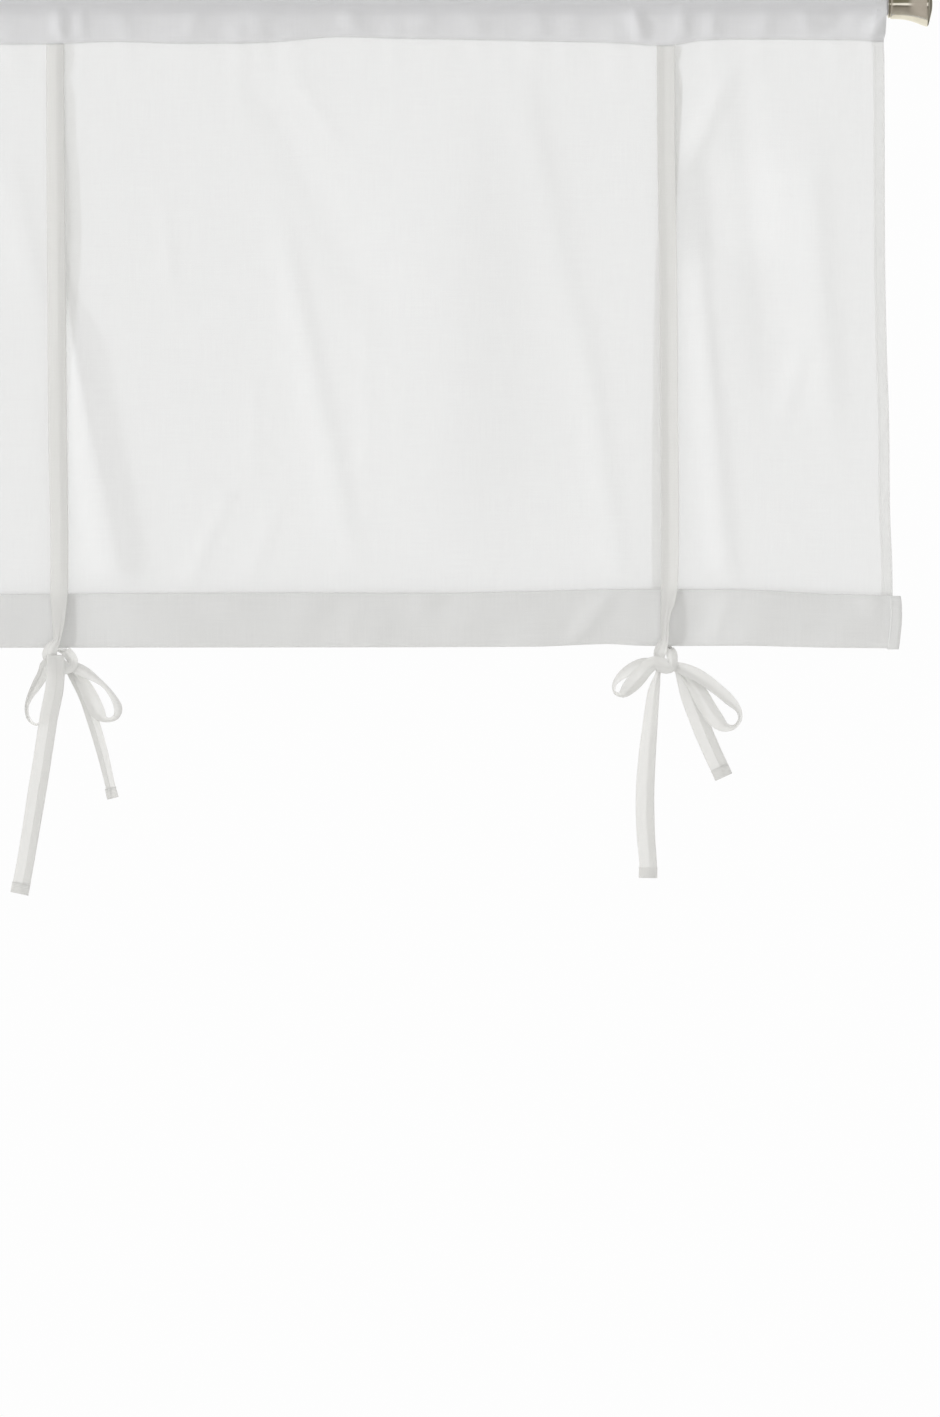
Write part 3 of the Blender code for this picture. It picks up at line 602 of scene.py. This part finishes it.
# Rows of a route: across, down, out, wide, and the x, y and z of its width
leftFront = [
    (1, 46, 2.1, 20, 1, 0, 0),
    (1.4, 167, 4.8, 20, 1, 0, 0),
    (2.9, 339, 8.8, 21, 1, 0.03, 0),
    (4.5, 500, 12.6, 21, 1, 0.08, 0),
    (6.5, 610, 15.2, 20, 1, 0.05, 0),
    (6, 680, 17, 19, 1, 0, 0),
    (5.5, 708, 17.4, 14, 1, 0, 0),
    (3.5, 728, 18.4, 9, 1, 0, -0.1),
    (-2.5, 738, 21.2, 15, 0.9, 0, -0.4),
    (-4.5, 745, 21.6, 17, 1, 0.1, -0.1),
    (-2.5, 752, 19.2, 12, 0.8, 0.1, 0.5),
    (3, 755, 18.4, 8, 0.35, 0.1, 0.95),
    (10, 756, 18.4, 6, 0.1, 0.1, 1),
    (21, 758, 18.8, 12, 0.35, 0.3, 0.9),
    (34, 764, 19, 17, 0.45, 0.7, 0.65),
    (46, 771, 19.6, 21, 0.25, 0.93, 0.3),
    (59, 781, 20.4, 21, 0.15, 0.97, 0.15),
    (69, 794, 21.4, 21, 0.25, 0.94, 0.15),
    (74, 806, 22.2, 21, 0.4, 0.9, 0),
    (71, 816, 22.8, 21, 0.2, 0.96, -0.2),
    (61, 819, 23, 21, -0.1, 0.95, -0.25),
    (50, 809, 22.4, 20, -0.7, 0.4, -0.5),
    (42, 793, 21.2, 18, -0.88, 0, -0.45),
    (34, 778, 19.6, 15, -0.9, -0.1, -0.4),
    (24, 765, 17.2, 9, -0.7, 0, -0.7),
    (15, 757, 16.4, 7, -0.6, 0, -0.8),
    (10, 753, 14.6, 7, -0.6, 0, -0.8),
    (14, 757, 12.8, 7, -0.65, 0, -0.75),
    (23, 769, 11.6, 12, -0.85, 0.1, -0.5),
    (35, 792, 9.4, 14, -0.9, 0.25, -0.35),
    (44, 818, 7.6, 15, -0.85, 0.4, -0.3),
    (55, 855, 7.6, 15, -0.8, 0.5, -0.25),
    (64, 893, 8.6, 14, -0.75, 0.6, -0.2),
    (67.5, 908, 8.8, 15, -0.8, 0.5, -0.2),
]
leftBack = [
    (12.5, 46, -2.8, 20, 1, 0, 0),
    (12.5, 66, -2.8, 19, 1, 0, 0),
    (9, 84, -2.8, 18, 1, 0, 0),
    (13, 108, -2.9, 20, 1, 0, 0),
    (14.5, 160, -3, 20, 1, 0, 0),
    (18.5, 200, -3, 20, 1, 0, 0),
    (20.5, 270, -3, 20, 1, 0, 0),
    (16.5, 340, -3, 20, 1, 0, 0),
    (9, 420, -3, 20, 1, 0, 0),
    (6.5, 500, -3, 20, 1, 0, 0),
    (6, 640, -2.8, 20, 1, 0, 0),
    (6, 720, -2.6, 19, 1, 0, 0),
    (6, 736, -0.6, 15, 1, 0, 0),
    (9.5, 740, 5, 13, 1, 0, 0),
    (13.5, 740.5, 11.5, 12, 0.9, -0.1, 0.3),
    (18, 745, 16.5, 12, 0.8, 0, 0.5),
    (22, 751.5, 20.4, 12, 0.8, 0.2, 0.5),
    (20.5, 758.5, 23.6, 12, 0.5, 0.2, -0.8),
    (12, 759.5, 25.4, 16, 0, 0, -1),
    (-1, 757, 25.2, 21, 0, 0, -1),
    (-7.5, 758, 24.2, 17, 0.2, 0.3, -0.9),
    (-11, 762, 20.4, 12, 0.5, 0.6, -0.7),
    (-14, 770, 16.6, 13, 0.75, 0.5, -0.5),
    (-19.5, 780, 14, 17, 0.5, 0.8, -0.3),
    (-27, 793, 11.6, 20, 0.25, 0.96, -0.1),
    (-31, 805, 10.2, 21, 0.12, 0.99, 0),
    (-29, 817, 9.4, 21, 0.08, 0.99, 0.08),
    (-21, 824, 9.2, 21, 0, 0.99, 0.1),
    (-11, 819, 9.8, 20, -0.4, 0.9, 0.2),
    (-4.5, 804, 12.6, 16, -0.8, 0.5, 0.3),
    (-0.5, 786, 16.6, 11, -0.95, 0.2, 0.2),
    (1.5, 768, 19.4, 9, -1, 0, 0.1),
    (2, 757, 20, 10, -1, 0, 0.1),
    (2.2, 748, 21.2, 14, -1, 0, 0.1),
    (2.4, 745, 24.2, 18, -1, 0, 0.1),
    (2.6, 749, 26.9, 20, -1, 0, 0.1),
    (2.8, 759, 27.6, 21, -1, 0, 0.1),
    (2.4, 771, 27, 21, -1, 0, 0.1),
    (1, 786, 25.4, 21, -1, 0, 0.15),
    (-5, 815, 22.8, 21, -1, 0.1, 0.15),
    (-11, 853, 21.2, 21, -1, 0.1, 0.15),
    (-18.5, 899, 19.6, 21, -1, 0, 0.15),
    (-26, 945, 18.2, 20, -1, 0, 0.15),
    (-33.5, 989, 17, 20, -1, 0.1, 0.2),
    (-39, 1017, 16.4, 21, -0.95, 0.1, 0.3),
]
rightFront = [
    (0.3, 48, 2.1, 20, 1, 0, 0),
    (0.8, 167, 4.8, 20, 1, 0, 0),
    (3, 290, 7.8, 20, 1, -0.1, 0),
    (4, 450, 11.4, 20, 1, 0.1, 0),
    (5, 610, 15.2, 20, 1, 0, 0),
    (3.5, 676, 16.8, 18, 1, 0, 0),
    (-0.5, 702, 17.4, 11, 1, 0, 0),
    (-1.5, 727, 18.4, 9, 1, 0, -0.1),
    (-5.5, 738, 21.4, 14, 0.8, 0, -0.6),
    (-7.5, 746, 21.2, 13, 1, 0.1, 0),
    (-5, 753, 19, 9, 0.7, 0.1, 0.7),
    (1, 757, 18.4, 7, 0.3, 0.1, 0.95),
    (13.5, 759, 18.8, 12, 0.1, 0.2, 1),
    (25, 763, 19.2, 16, 0.35, 0.45, 0.8),
    (40, 770.5, 19.8, 20, 0.4, 0.65, 0.65),
    (57.5, 783, 20.4, 21, 0.4, 0.75, 0.5),
    (72.5, 796, 21.2, 21, 0.4, 0.78, 0.4),
    (83, 808, 22.2, 21, 0.3, 0.94, 0.12),
    (84.5, 818.5, 23, 21, 0.2, 0.97, -0.12),
    (77.5, 827.5, 23.4, 21, 0, 0.96, -0.25),
    (67, 827.5, 23.4, 21, -0.3, 0.85, -0.4),
    (56, 818, 22.8, 21, -0.7, 0.5, -0.5),
    (47.5, 805.5, 22, 20, -0.85, 0.3, -0.5),
    (38, 789.5, 20.8, 19, -0.85, 0.15, -0.5),
    (27, 773, 18.2, 13, -0.8, 0, -0.6),
    (15, 761, 16.6, 7, -0.6, 0, -0.8),
    (9.5, 757, 14.8, 7, -0.6, 0, -0.8),
    (13.5, 761, 13, 8, -0.65, 0, -0.75),
    (19.5, 774, 12.4, 14, -0.85, 0.1, -0.5),
    (27, 792, 11.6, 20, -0.9, 0.1, -0.4),
    (41, 828, 10.4, 21, -0.9, 0.1, -0.45),
    (53.5, 857, 10.6, 21, -0.9, 0, -0.45),
    (66, 884, 11, 21, -0.9, 0, -0.45),
]
rightBack = [
    (8.5, 48, -2.8, 20, 1, 0, 0),
    (8, 58, -2.8, 19, 1, 0, 0),
    (5.5, 68, -2.8, 18, 1, 0, 0),
    (9, 90, -2.9, 20, 1, 0, 0),
    (8, 130, -2.9, 20, 1, 0, 0),
    (5, 180, -3, 20, 1, 0, 0),
    (-3, 360, -3, 20, 1, 0, 0),
    (-5.5, 640, -2.8, 20, 1, 0, 0),
    (-3.5, 720, -2.6, 18, 1, 0, 0),
    (-1, 734, -0.6, 14, 1, 0, 0),
    (2.5, 738, 5, 11, 1, 0, 0.1),
    (5, 739, 11.5, 9, 0.9, -0.1, 0.3),
    (6, 742, 17, 12, 0.95, 0, 0.3),
    (7, 749, 21.6, 13, 1, 0.3, -0.1),
    (6.6, 757, 24.6, 13, 0.4, 0.1, -0.9),
    (1, 758.5, 25.4, 16, 0.1, 0, -1),
    (-5.5, 756, 25.4, 17, 0.25, 0, -1),
    (-13.5, 754, 24.8, 16, 0.5, 0.1, -0.85),
    (-21.5, 759, 23.8, 17, 0.65, 0.1, -0.75),
    (-31.5, 770, 22.6, 19, 0.7, 0.15, -0.7),
    (-42, 782, 21.2, 20, 0.55, 0.55, -0.6),
    (-50.5, 790.5, 19.6, 21, 0.2, 0.9, -0.3),
    (-58, 788, 17.6, 21, -0.1, 0.98, -0.1),
    (-58.5, 778, 16.2, 21, -0.2, 0.96, 0.1),
    (-49, 767, 15.6, 20, -0.3, 0.85, 0.4),
    (-35, 758.5, 16, 17, -0.4, 0.6, 0.65),
    (-22, 754, 17.6, 12, -0.25, 0.3, 0.9),
    (-13.5, 755.5, 19.8, 7, 0.1, 0.2, 1),
    (-8.8, 760.5, 21.4, 6, 0.7, 0.1, 0.7),
    (-9.5, 767, 21.6, 6, 1, 0, 0),
    (-11.5, 775, 21.4, 10, 1, -0.3, -0.1),
    (-14.5, 789, 21.2, 15, 1, -0.5, -0.15),
    (-18, 822, 21.4, 18, 1, -0.45, -0.1),
    (-21.5, 859, 20.2, 20, 1, -0.3, -0.1),
    (-24, 906, 18.8, 21, 1, -0.1, 0),
    (-23, 950, 17.8, 21, 1, 0.1, 0),
    (-20.5, 982, 17.2, 20, 1, 0, 0.1),
    (-20.5, 999, 17, 21, 1, 0, 0.1),
]


def unit(vectors):
    return vectors / np.linalg.norm(vectors, axis=-1, keepdims=True)


def ribbonPath(route, side):
    # Middle, direction, width direction and width of a ribbon at even steps along its route
    rows = np.array(route, float)
    place = np.stack([side * cloth["tieX"] + rows[:, 0], -rows[:, 2], -rows[:, 1]], axis=-1)
    steps = np.linalg.norm(np.diff(place, axis=0), axis=1)
    run = np.concatenate([[0.0], np.cumsum(steps)])
    table = np.column_stack([run, place, rows[:, 3], unit(rows[:, 4:])])
    spots = np.linspace(0, run[-1], round(run[-1] / ribbon["step"]) + 1)
    values = alongTable(table, spots)
    middle, wide, across = values[:, :3], values[:, 3], values[:, 4:]
    along = unit(np.gradient(middle, axis=0))
    across = unit(across - along * np.sum(across * along, axis=1, keepdims=True))
    return spots, middle, along, across, wide


def ribbonColumns(turnedSide):
    # Across a ribbon: shares of its width from -0.5 to 0.5, then its folded edge, with the depth of each
    flat = np.linspace(-0.5, 0.5, ribbon["across"])
    deep, turned = ribbon["turnedDepth"], ribbon["turnedIn"] / ribbon["width"]
    back = 0.5 - turned * np.array([-0.005, 0.015, 0.35, 0.7, 0.94, 1.0])
    shares = np.concatenate([flat, back]) * turnedSide
    depths = np.concatenate([0 * flat, [deep / 2], np.full(len(back) - 1, deep)])
    return shares, depths


def makeRibbon(name, node, route, side, turnedSide):
    spots, middle, along, across, wide = ribbonPath(route, side)
    face = np.cross(along, across)
    shares, depths = ribbonColumns(turnedSide)
    gathered = np.clip((ribbon["width"] - ribbon["slack"] - wide) / 10, 0, 1)
    lift = ribbon["bow"] * wide[:, None] * (1 - 4 * shares**2)
    phase = spots[:, None] * ribbon["pleatDrift"]
    turns = 2 * math.pi * ribbon["pleats"] * shares
    pleat = np.sin(turns + phase) + 0.5 * np.sin(1.9 * turns - 1.6 * phase)
    lift = lift + ribbon["pleatHeight"] * gathered[:, None] * pleat
    points = middle[:, None] + across[:, None] * (wide[:, None] * shares)[..., None]
    points = points + face[:, None] * (lift - depths)[..., None]
    # The free end is turned back and sewn down
    hem, deep = ribbon["endHem"], ribbon["endHemDepth"]
    fold = ribbon["endFold"] + [(-1.5, deep), (-hem / 2, deep), (-hem, deep)]
    turned = [points[-1] + along[-1] * distance - face[-1] * depth for distance, depth in fold]
    points = np.concatenate([points, np.array(turned)])
    turnedRun = np.arange(1, len(fold) + 1) * (hem + ribbon["endFoldLength"]) / len(fold)
    run = np.concatenate([spots, spots[-1] + turnedRun])
    uvs = np.empty((*points.shape[:2], 2))
    uvs[..., 0] = shares * ribbon["width"] + depths * ribbon["turnedThreads"]
    uvs[..., 1] = run[:, None]
    piece = gridMesh(name, points, uvs, cotton["ribbonCotton"])
    # Faces behind the cloth take the painted-backlight copy of the cotton, so they look lit by the wall
    piece.data.materials.append(cotton["backCottonPaintedLight"])
    behind = np.repeat(points[:-1, 0, 1] > 1.0, points.shape[1] - 1)
    piece.data.polygons.foreach_set("material_index", behind.astype(np.int32))
    thicken(piece, ribbon["thickness"])
    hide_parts(node)
    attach(piece, "root")
    front = points[len(spots) - 1][: ribbon["across"]]
    endLine = front - along[-1] * (hem - ribbon["endStitches"]) + face[-1] * (ribbon["thickness"] / 2)
    return piece, run[-1], endLine


ribbons = [
    makeRibbon("ribbonFrontLeft", "ribbon_front_left", leftFront, -1, 1),
    makeRibbon("ribbonBackLeft", "ribbon_back_left", leftBack, -1, -1),
    makeRibbon("ribbonFrontRight", "ribbon_front_right", rightFront, 1, -1),
    makeRibbon("ribbonBackRight", "ribbon_back_right", rightBack, 1, 1),
]
print("ribbons made")

# Stitches along the seam, the side hems and the ribbons' ends

stitch = {
    "pitch": 2.8,
    "endPitch": 2.2,  # on the ribbons' ends
    "length": 2.1,
    "thickness": 0.34,
    "stand": 0.08,
    "tilt": 0.06,  # each is out of true by up to this, in radians
    "seed": 3,
    "seamReach": 596,  # from the middle
    "seamStep": 4.0,
    "hemInset": 1.6,  # in from the hem's inner edge
    "rollRows": (12, 41),  # rows of the roll that show the hem's stitches
}


def stitchTree():
    # Rounded stitches, end to end along the edges of a line
    group, given, out = nodeGroup(
        "runningStitch",
        "GeometryNodeTree",
        [
            ("Geometry", "Geometry", None),
            ("Pitch", "Float", stitch["pitch"] * mm),
            ("Length", "Float", stitch["length"] * mm),
            ("Thickness", "Float", stitch["thickness"] * mm),
            ("Seed", "Int", stitch["seed"]),
            ("Thread", "Material", None),
        ],
        [("Geometry", "Geometry")],
    )
    wanted, tilt = given.outputs, stitch["tilt"]
    line = addNode(group, "GeometryNodeMeshToCurve")
    spaced = addNode(group, "GeometryNodeResampleCurve", {"Length": wanted["Pitch"]}, mode="LENGTH")
    points = addNode(group, "GeometryNodeCurveToPoints", mode="EVALUATED")
    bead = addNode(group, "GeometryNodeMeshUVSphere", {"Segments": 6, "Rings": 5, "Radius": 0.5})
    values = {"Min": (-tilt,) * 3, "Max": (tilt,) * 3, "Seed": wanted["Seed"]}
    turn = addNode(group, "FunctionNodeRandomValue", values, data_type="FLOAT_VECTOR")
    askew = addNode(group, "FunctionNodeEulerToRotation", {"Euler": turn.outputs["Value"]})
    values = {"Rotation": points.outputs["Rotation"], "Rotate By": askew.outputs["Rotation"]}
    lay = addNode(group, "FunctionNodeRotateRotation", values, rotation_space="LOCAL")
    values = {"X": wanted["Thickness"], "Y": wanted["Thickness"], "Z": wanted["Length"]}
    size = addNode(group, "ShaderNodeCombineXYZ", values).outputs["Vector"]
    values = {"Instance": bead.outputs["Mesh"], "Rotation": lay.outputs["Rotation"], "Scale": size}
    place = addNode(group, "GeometryNodeInstanceOnPoints", values)
    endGroup(group, [given, line, spaced, points, place], wanted["Thread"], out)
    return group


runningStitch = stitchTree()


def plainMesh(piece, name, values):
    # Sets the inputs of the piece's one Geometry Nodes modifier and turns its result into a plain mesh
    modifier = piece.modifiers[0]
    for item in modifier.node_group.interface.items_tree:
        if item.in_out == "INPUT" and item.name in values:
            modifier[item.identifier] = values[item.name]
    piece.update_tag()
    graph = bpy.context.evaluated_depsgraph_get()
    made = bpy.data.meshes.new_from_object(piece.evaluated_get(graph), depsgraph=graph)
    made.name = name
    piece.modifiers.clear()
    piece.data = made


def sewLines(name, lines, pitch):
    # One piece of stitches along several lines of points, in millimetres
    points, edges = [], []
    for line in lines:
        start = len(points)
        points += [tuple(point * mm) for point in line]
        edges += [(start + n, start + n + 1) for n in range(len(line) - 1)]
    mesh = bpy.data.meshes.new(name)
    mesh.from_pydata(points, edges, [])
    piece = newPiece(name, mesh)
    piece.modifiers.new("stitches", "NODES").node_group = runningStitch
    plainMesh(piece, name, {"Thread": sewingThread, "Seed": stitch["seed"], "Pitch": pitch * mm})
    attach(piece, "root")
    return piece


def acrossAt(row, x, raised):
    # Point of the cloth at a row and an x, raised off its back face, or off its front if negative
    line = clothPoints[row][clothMain]
    back = clothBack[row][clothMain]
    at = [np.interp(x, line[:, 0], line[:, k]) for k in range(3)]
    lean = [np.interp(x, line[:, 0], back[:, k]) for k in range(2)]
    return np.array(at) + raised * np.array([0.0, *lean])


outside = cloth["thickness"] / 2 + stitch["stand"]
seamXs = np.arange(-stitch["seamReach"], stitch["seamReach"] + 1, stitch["seamStep"])
seamLine = [acrossAt(seamRow, x, -outside) for x in seamXs]
seamStitches = sewLines("seamStitches", [seamLine], stitch["pitch"])
rollFirst, rollLast = [rollFirstRow + row for row in stitch["rollRows"]]
hemLines = []
for side, edgeColumn in ((-1, 0), (1, -1)):
    for first, last, raised in (
        (seamRow + 1, rollFirstRow - 2, -outside),
        (rollFirst, rollLast, outside + cloth["hemOffset"]),
    ):
        line = []
        for row in range(first, last):
            edge = abs(clothPoints[row][clothMain][edgeColumn][0])
            line.append(acrossAt(row, side * (edge - cloth["hemWidth"] + stitch["hemInset"]), raised))
        hemLines.append(line)
hemStitches = sewLines("hemStitches", hemLines, stitch["pitch"])
endLines = [line for piece, run, line in ribbons]
endStitches = sewLines("ribbonEndStitches", endLines, stitch["endPitch"])
print("stitches sewn")

# Rod and finials

finialForm = {
    "start": 603.8,  # its inner face, from the rod's middle
    "sides": 96,
    "sharp": 50,  # degrees
}
finialProfile = [
    # out, radius
    (0.0, 16.1), (0.15, 16.4), (1.6, 16.4), (1.95, 16.1), (2.1, 15.6), (2.6, 15.6), (2.8, 16.4),
    (3.1, 17.1), (3.6, 17.4), (9.5, 17.5), (14.0, 17.7), (19.0, 18.2), (23.5, 19.0), (27.0, 19.95),
    (30.5, 21.1), (33.7, 22.25), (36.7, 23.5), (39.3, 24.5), (41.8, 25.4), (43.5, 25.95), (44.6, 26.2),
    (45.4, 25.9), (46.2, 25.0), (47.0, 22.8), (48.0, 19.0), (48.9, 15.5), (49.9, 11.5), (50.6, 7.5),
    (51.0, 4.0), (51.2, 0.02),
]


def turnedTree():
    # Turns a profile: the points of a straight line, each with its own radius
    group, given, out = nodeGroup(
        "turnedPiece",
        "GeometryNodeTree",
        [("Geometry", "Geometry", None), ("Sides", "Int", finialForm["sides"]), ("Metal", "Material", None)],
        [("Geometry", "Geometry")],
    )
    line = addNode(group, "GeometryNodeMeshToCurve")
    radius = addNode(group, "GeometryNodeInputNamedAttribute", {"Name": "radius"}, data_type="FLOAT")
    values = {"Resolution": given.outputs["Sides"], "Radius": 1.0}
    ring = addNode(group, "GeometryNodeCurvePrimitiveCircle", values).outputs["Curve"]
    values = {"Profile Curve": ring, "Scale": radius.outputs["Attribute"], "Fill Caps": True}
    skin = addNode(group, "GeometryNodeCurveToMesh", values)
    endGroup(group, [given, line, skin], given.outputs["Metal"], out)
    return group


turnedPiece = turnedTree()


def makeFinial(name, node, side):
    mesh = bpy.data.meshes.new(name)
    points = [(side * (finialForm["start"] + out) * mm, 0.0, 0.0) for out, radius in finialProfile]
    mesh.from_pydata(points, [(n, n + 1) for n in range(len(points) - 1)], [])
    sizes = mesh.attributes.new("radius", "FLOAT", "POINT")
    sizes.data.foreach_set("value", [radius * mm for out, radius in finialProfile])
    finial = newPiece(name, mesh)
    finial.modifiers.new("turned", "NODES").node_group = turnedPiece
    plainMesh(finial, name, {"Sides": finialForm["sides"], "Metal": satinNickel})
    work = bmesh.new()
    work.from_mesh(finial.data)
    bmesh.ops.remove_doubles(work, verts=work.verts, dist=0.002 * mm)
    bmesh.ops.recalc_face_normals(work, faces=work.faces)
    work.to_mesh(finial.data)
    work.free()
    finial.data.set_sharp_from_angle(angle=math.radians(finialForm["sharp"]))
    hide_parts(node)
    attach(finial, "root")


makeFinial("finialRight", "finial_right", 1)
makeFinial("finialLeft", "finial_left", -1)
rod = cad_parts["rod"]
rod.data.materials.clear()
rod.data.materials.append(rodNickel)
print("rod and finials made")

# Studio: pale floor, soft light and the camera straight in front

studio = {
    "floorZ": -2.2,
    "floorSize": 8.0,
    "photoScale": 1.144,  # millimetres a pixel at the panel
    "photoAxis": (360.0, 3.9),  # pixel of the rod's middle
    "photoSize": (940.0, 1417.0),
    "distance": 8.0,
    "backdrop": 0.985,
}


def makeFloor():
    material, tree, body = newMaterial("floorPaint")
    place = addNode(tree, "ShaderNodeTexCoord").outputs["Object"]
    grain = stretchedNoise(tree, place, (3.0, 3.0, 3.0), 4.0)
    tone = twoTone(tree, grain, (0.91, 0.905, 0.895), (0.94, 0.935, 0.925))
    feed(tree, body, {"Roughness": 0.7, "Base Color": tone})
    half = studio["floorSize"] / 2
    mesh = bpy.data.meshes.new("floor")
    corners = [(-half, -half), (half, -half), (half, half), (-half, half)]
    mesh.from_pydata([(x, y, studio["floorZ"]) for x, y in corners], [], [(0, 1, 2, 3)])
    mesh.materials.append(material)
    floor = newPiece("floor", mesh)
    floor.visible_glossy = False  # so that the nickel reflects the room alone


room = {
    "front": (0.80, 0.798, 0.793),  # light on the cloth from the camera's side
    "behind": (1.03, 1.03, 1.04),  # and from the white wall behind it
    "above": (1.03, 1.03, 1.02),
    "sides": (1.14, 0.86),  # share of it from the left and from the right
    "shineSteps": [
        # sine of the height that a shiny piece reflects, colour
        (-1.0, (0.56, 0.54, 0.48)), (-0.85, (0.45, 0.425, 0.38)), (-0.52, (0.36, 0.335, 0.29)),
        (-0.42, (0.22, 0.20, 0.17)), (-0.29, (0.16, 0.14, 0.12)), (-0.23, (1.3, 1.28, 1.22)),
        (-0.03, (1.3, 1.28, 1.22)), (0.03, (0.24, 0.23, 0.17)), (0.5, (0.25, 0.24, 0.175)),
        (1.0, (0.6, 0.6, 0.58)),
    ],
    "shineLeft": (0.62, 0.58, 0.53),
    "shineLeftEdge": (-0.56, -0.26),
    "shineSides": [
        # axis, where it begins and where it is full, colour: behind, right, far right
        ("Y", 0.0, 0.25, (1.15, 1.13, 1.02)),
        ("X", 0.15, 0.35, (0.20, 0.19, 0.16)),
        ("X", 0.55, 0.92, (0.46, 0.44, 0.39)),
    ],
}


def makeWorld():
    # White to the camera. Light on the cloth and what shiny pieces reflect change with direction
    world = bpy.data.worlds.new("studio")
    world.use_nodes = True
    tree = world.node_tree
    tree.nodes.clear()
    place = addNode(tree, "ShaderNodeTexCoord")
    split = addNode(tree, "ShaderNodeSeparateXYZ", {0: place.outputs["Generated"]}).outputs

    def share(axis, low, high, ends=(0.0, 1.0)):
        values = {"Value": split[axis], "From Min": low, "From Max": high}
        values.update({"To Min": ends[0], "To Max": ends[1]})
        node = addNode(tree, "ShaderNodeMapRange", values, interpolation_type="SMOOTHSTEP")
        return node.outputs["Result"]

    def blend(factor, first, second):
        values = {"Factor": factor, "A": first, "B": second}
        return addNode(tree, "ShaderNodeMix", values, data_type="RGBA").outputs["Result"]

    def background(colour):
        return addNode(tree, "ShaderNodeBackground", {"Color": colour}).outputs[0]

    def pick(factor, first, second):
        return addNode(tree, "ShaderNodeMixShader", {0: factor, 1: first, 2: second}).outputs[0]

    level = mathNode(tree, "MULTIPLY_ADD", split["Z"], 0.5, 0.5)
    ramp = addNode(tree, "ShaderNodeValToRGB", {"Fac": level})
    steps = ramp.color_ramp.elements
    while len(steps) > 1:
        steps.remove(steps[-1])
    for n, (height, colour) in enumerate(room["shineSteps"]):
        step = steps[0] if n == 0 else steps.new(1.0)
        step.position = height / 2 + 0.5
        step.color = (*colour, 1)
    shine = blend(share("X", *room["shineLeftEdge"]), room["shineLeft"], ramp.outputs["Color"])
    for axis, low, high, colour in room["shineSides"]:
        shine = blend(share(axis, low, high), shine, colour)
    soft = blend(share("Y", -0.3, 0.3), room["front"], room["behind"])
    soft = blend(share("Z", 0.0, 1.0), soft, room["above"])
    values = {0: soft, "Scale": share("X", -1.0, 1.0, room["sides"])}
    soft = addNode(tree, "ShaderNodeVectorMath", values, operation="SCALE").outputs["Vector"]
    path = addNode(tree, "ShaderNodeLightPath").outputs
    seen = pick(path["Is Glossy Ray"], background(soft), background(shine))
    seen = pick(path["Is Camera Ray"], seen, background((studio["backdrop"],) * 3))
    addNode(tree, "ShaderNodeOutputWorld", {"Surface": seen})
    bpy.context.scene.world = world


keyLamp = {
    "towards": (-0.96, -0.26, -0.07),  # from the cloth to the lamp
    "strength": 1.7,
    "softness": 5.0,  # degrees across
    "colour": (0.97, 0.985, 1.02),
}


def makeLamp():
    data = bpy.data.lights.new("keyLamp", "SUN")
    data.energy = keyLamp["strength"]
    data.angle = math.radians(keyLamp["softness"])
    data.color = keyLamp["colour"]
    lamp = newPiece("keyLamp", data)
    lamp.rotation_euler = Vector(keyLamp["towards"]).to_track_quat("Z", "Y").to_euler()
    lamp.visible_glossy = False
    # The ties hang in the soft light alone: they don't catch the key lamp or cast its shadow
    softlyLit = bpy.data.collections.new("softlyLit")
    for piece in [row[0] for row in ribbons] + [endStitches]:
        softlyLit.objects.link(piece)
    for item in softlyLit.collection_objects:
        item.light_linking.link_state = "EXCLUDE"
    lamp.light_linking.receiver_collection = softlyLit
    lamp.light_linking.blocker_collection = softlyLit


def makeCamera():
    width, height = studio["photoSize"]
    axisX, axisY = studio["photoAxis"]
    scale = studio["photoScale"] * mm
    data = bpy.data.cameras.new("camera")
    data.sensor_width = 36.0
    data.lens = data.sensor_width * studio["distance"] / (height * scale)
    camera = newPiece("camera", data)
    camera.location = ((width / 2 - axisX) * scale, -studio["distance"], -(height / 2 - axisY) * scale)
    camera.rotation_euler = (math.radians(90), 0, 0)
    bpy.context.scene.camera = camera


makeFloor()
makeWorld()
makeLamp()
makeCamera()
bpy.context.scene.view_settings.view_transform = "Standard"
print("studio set")
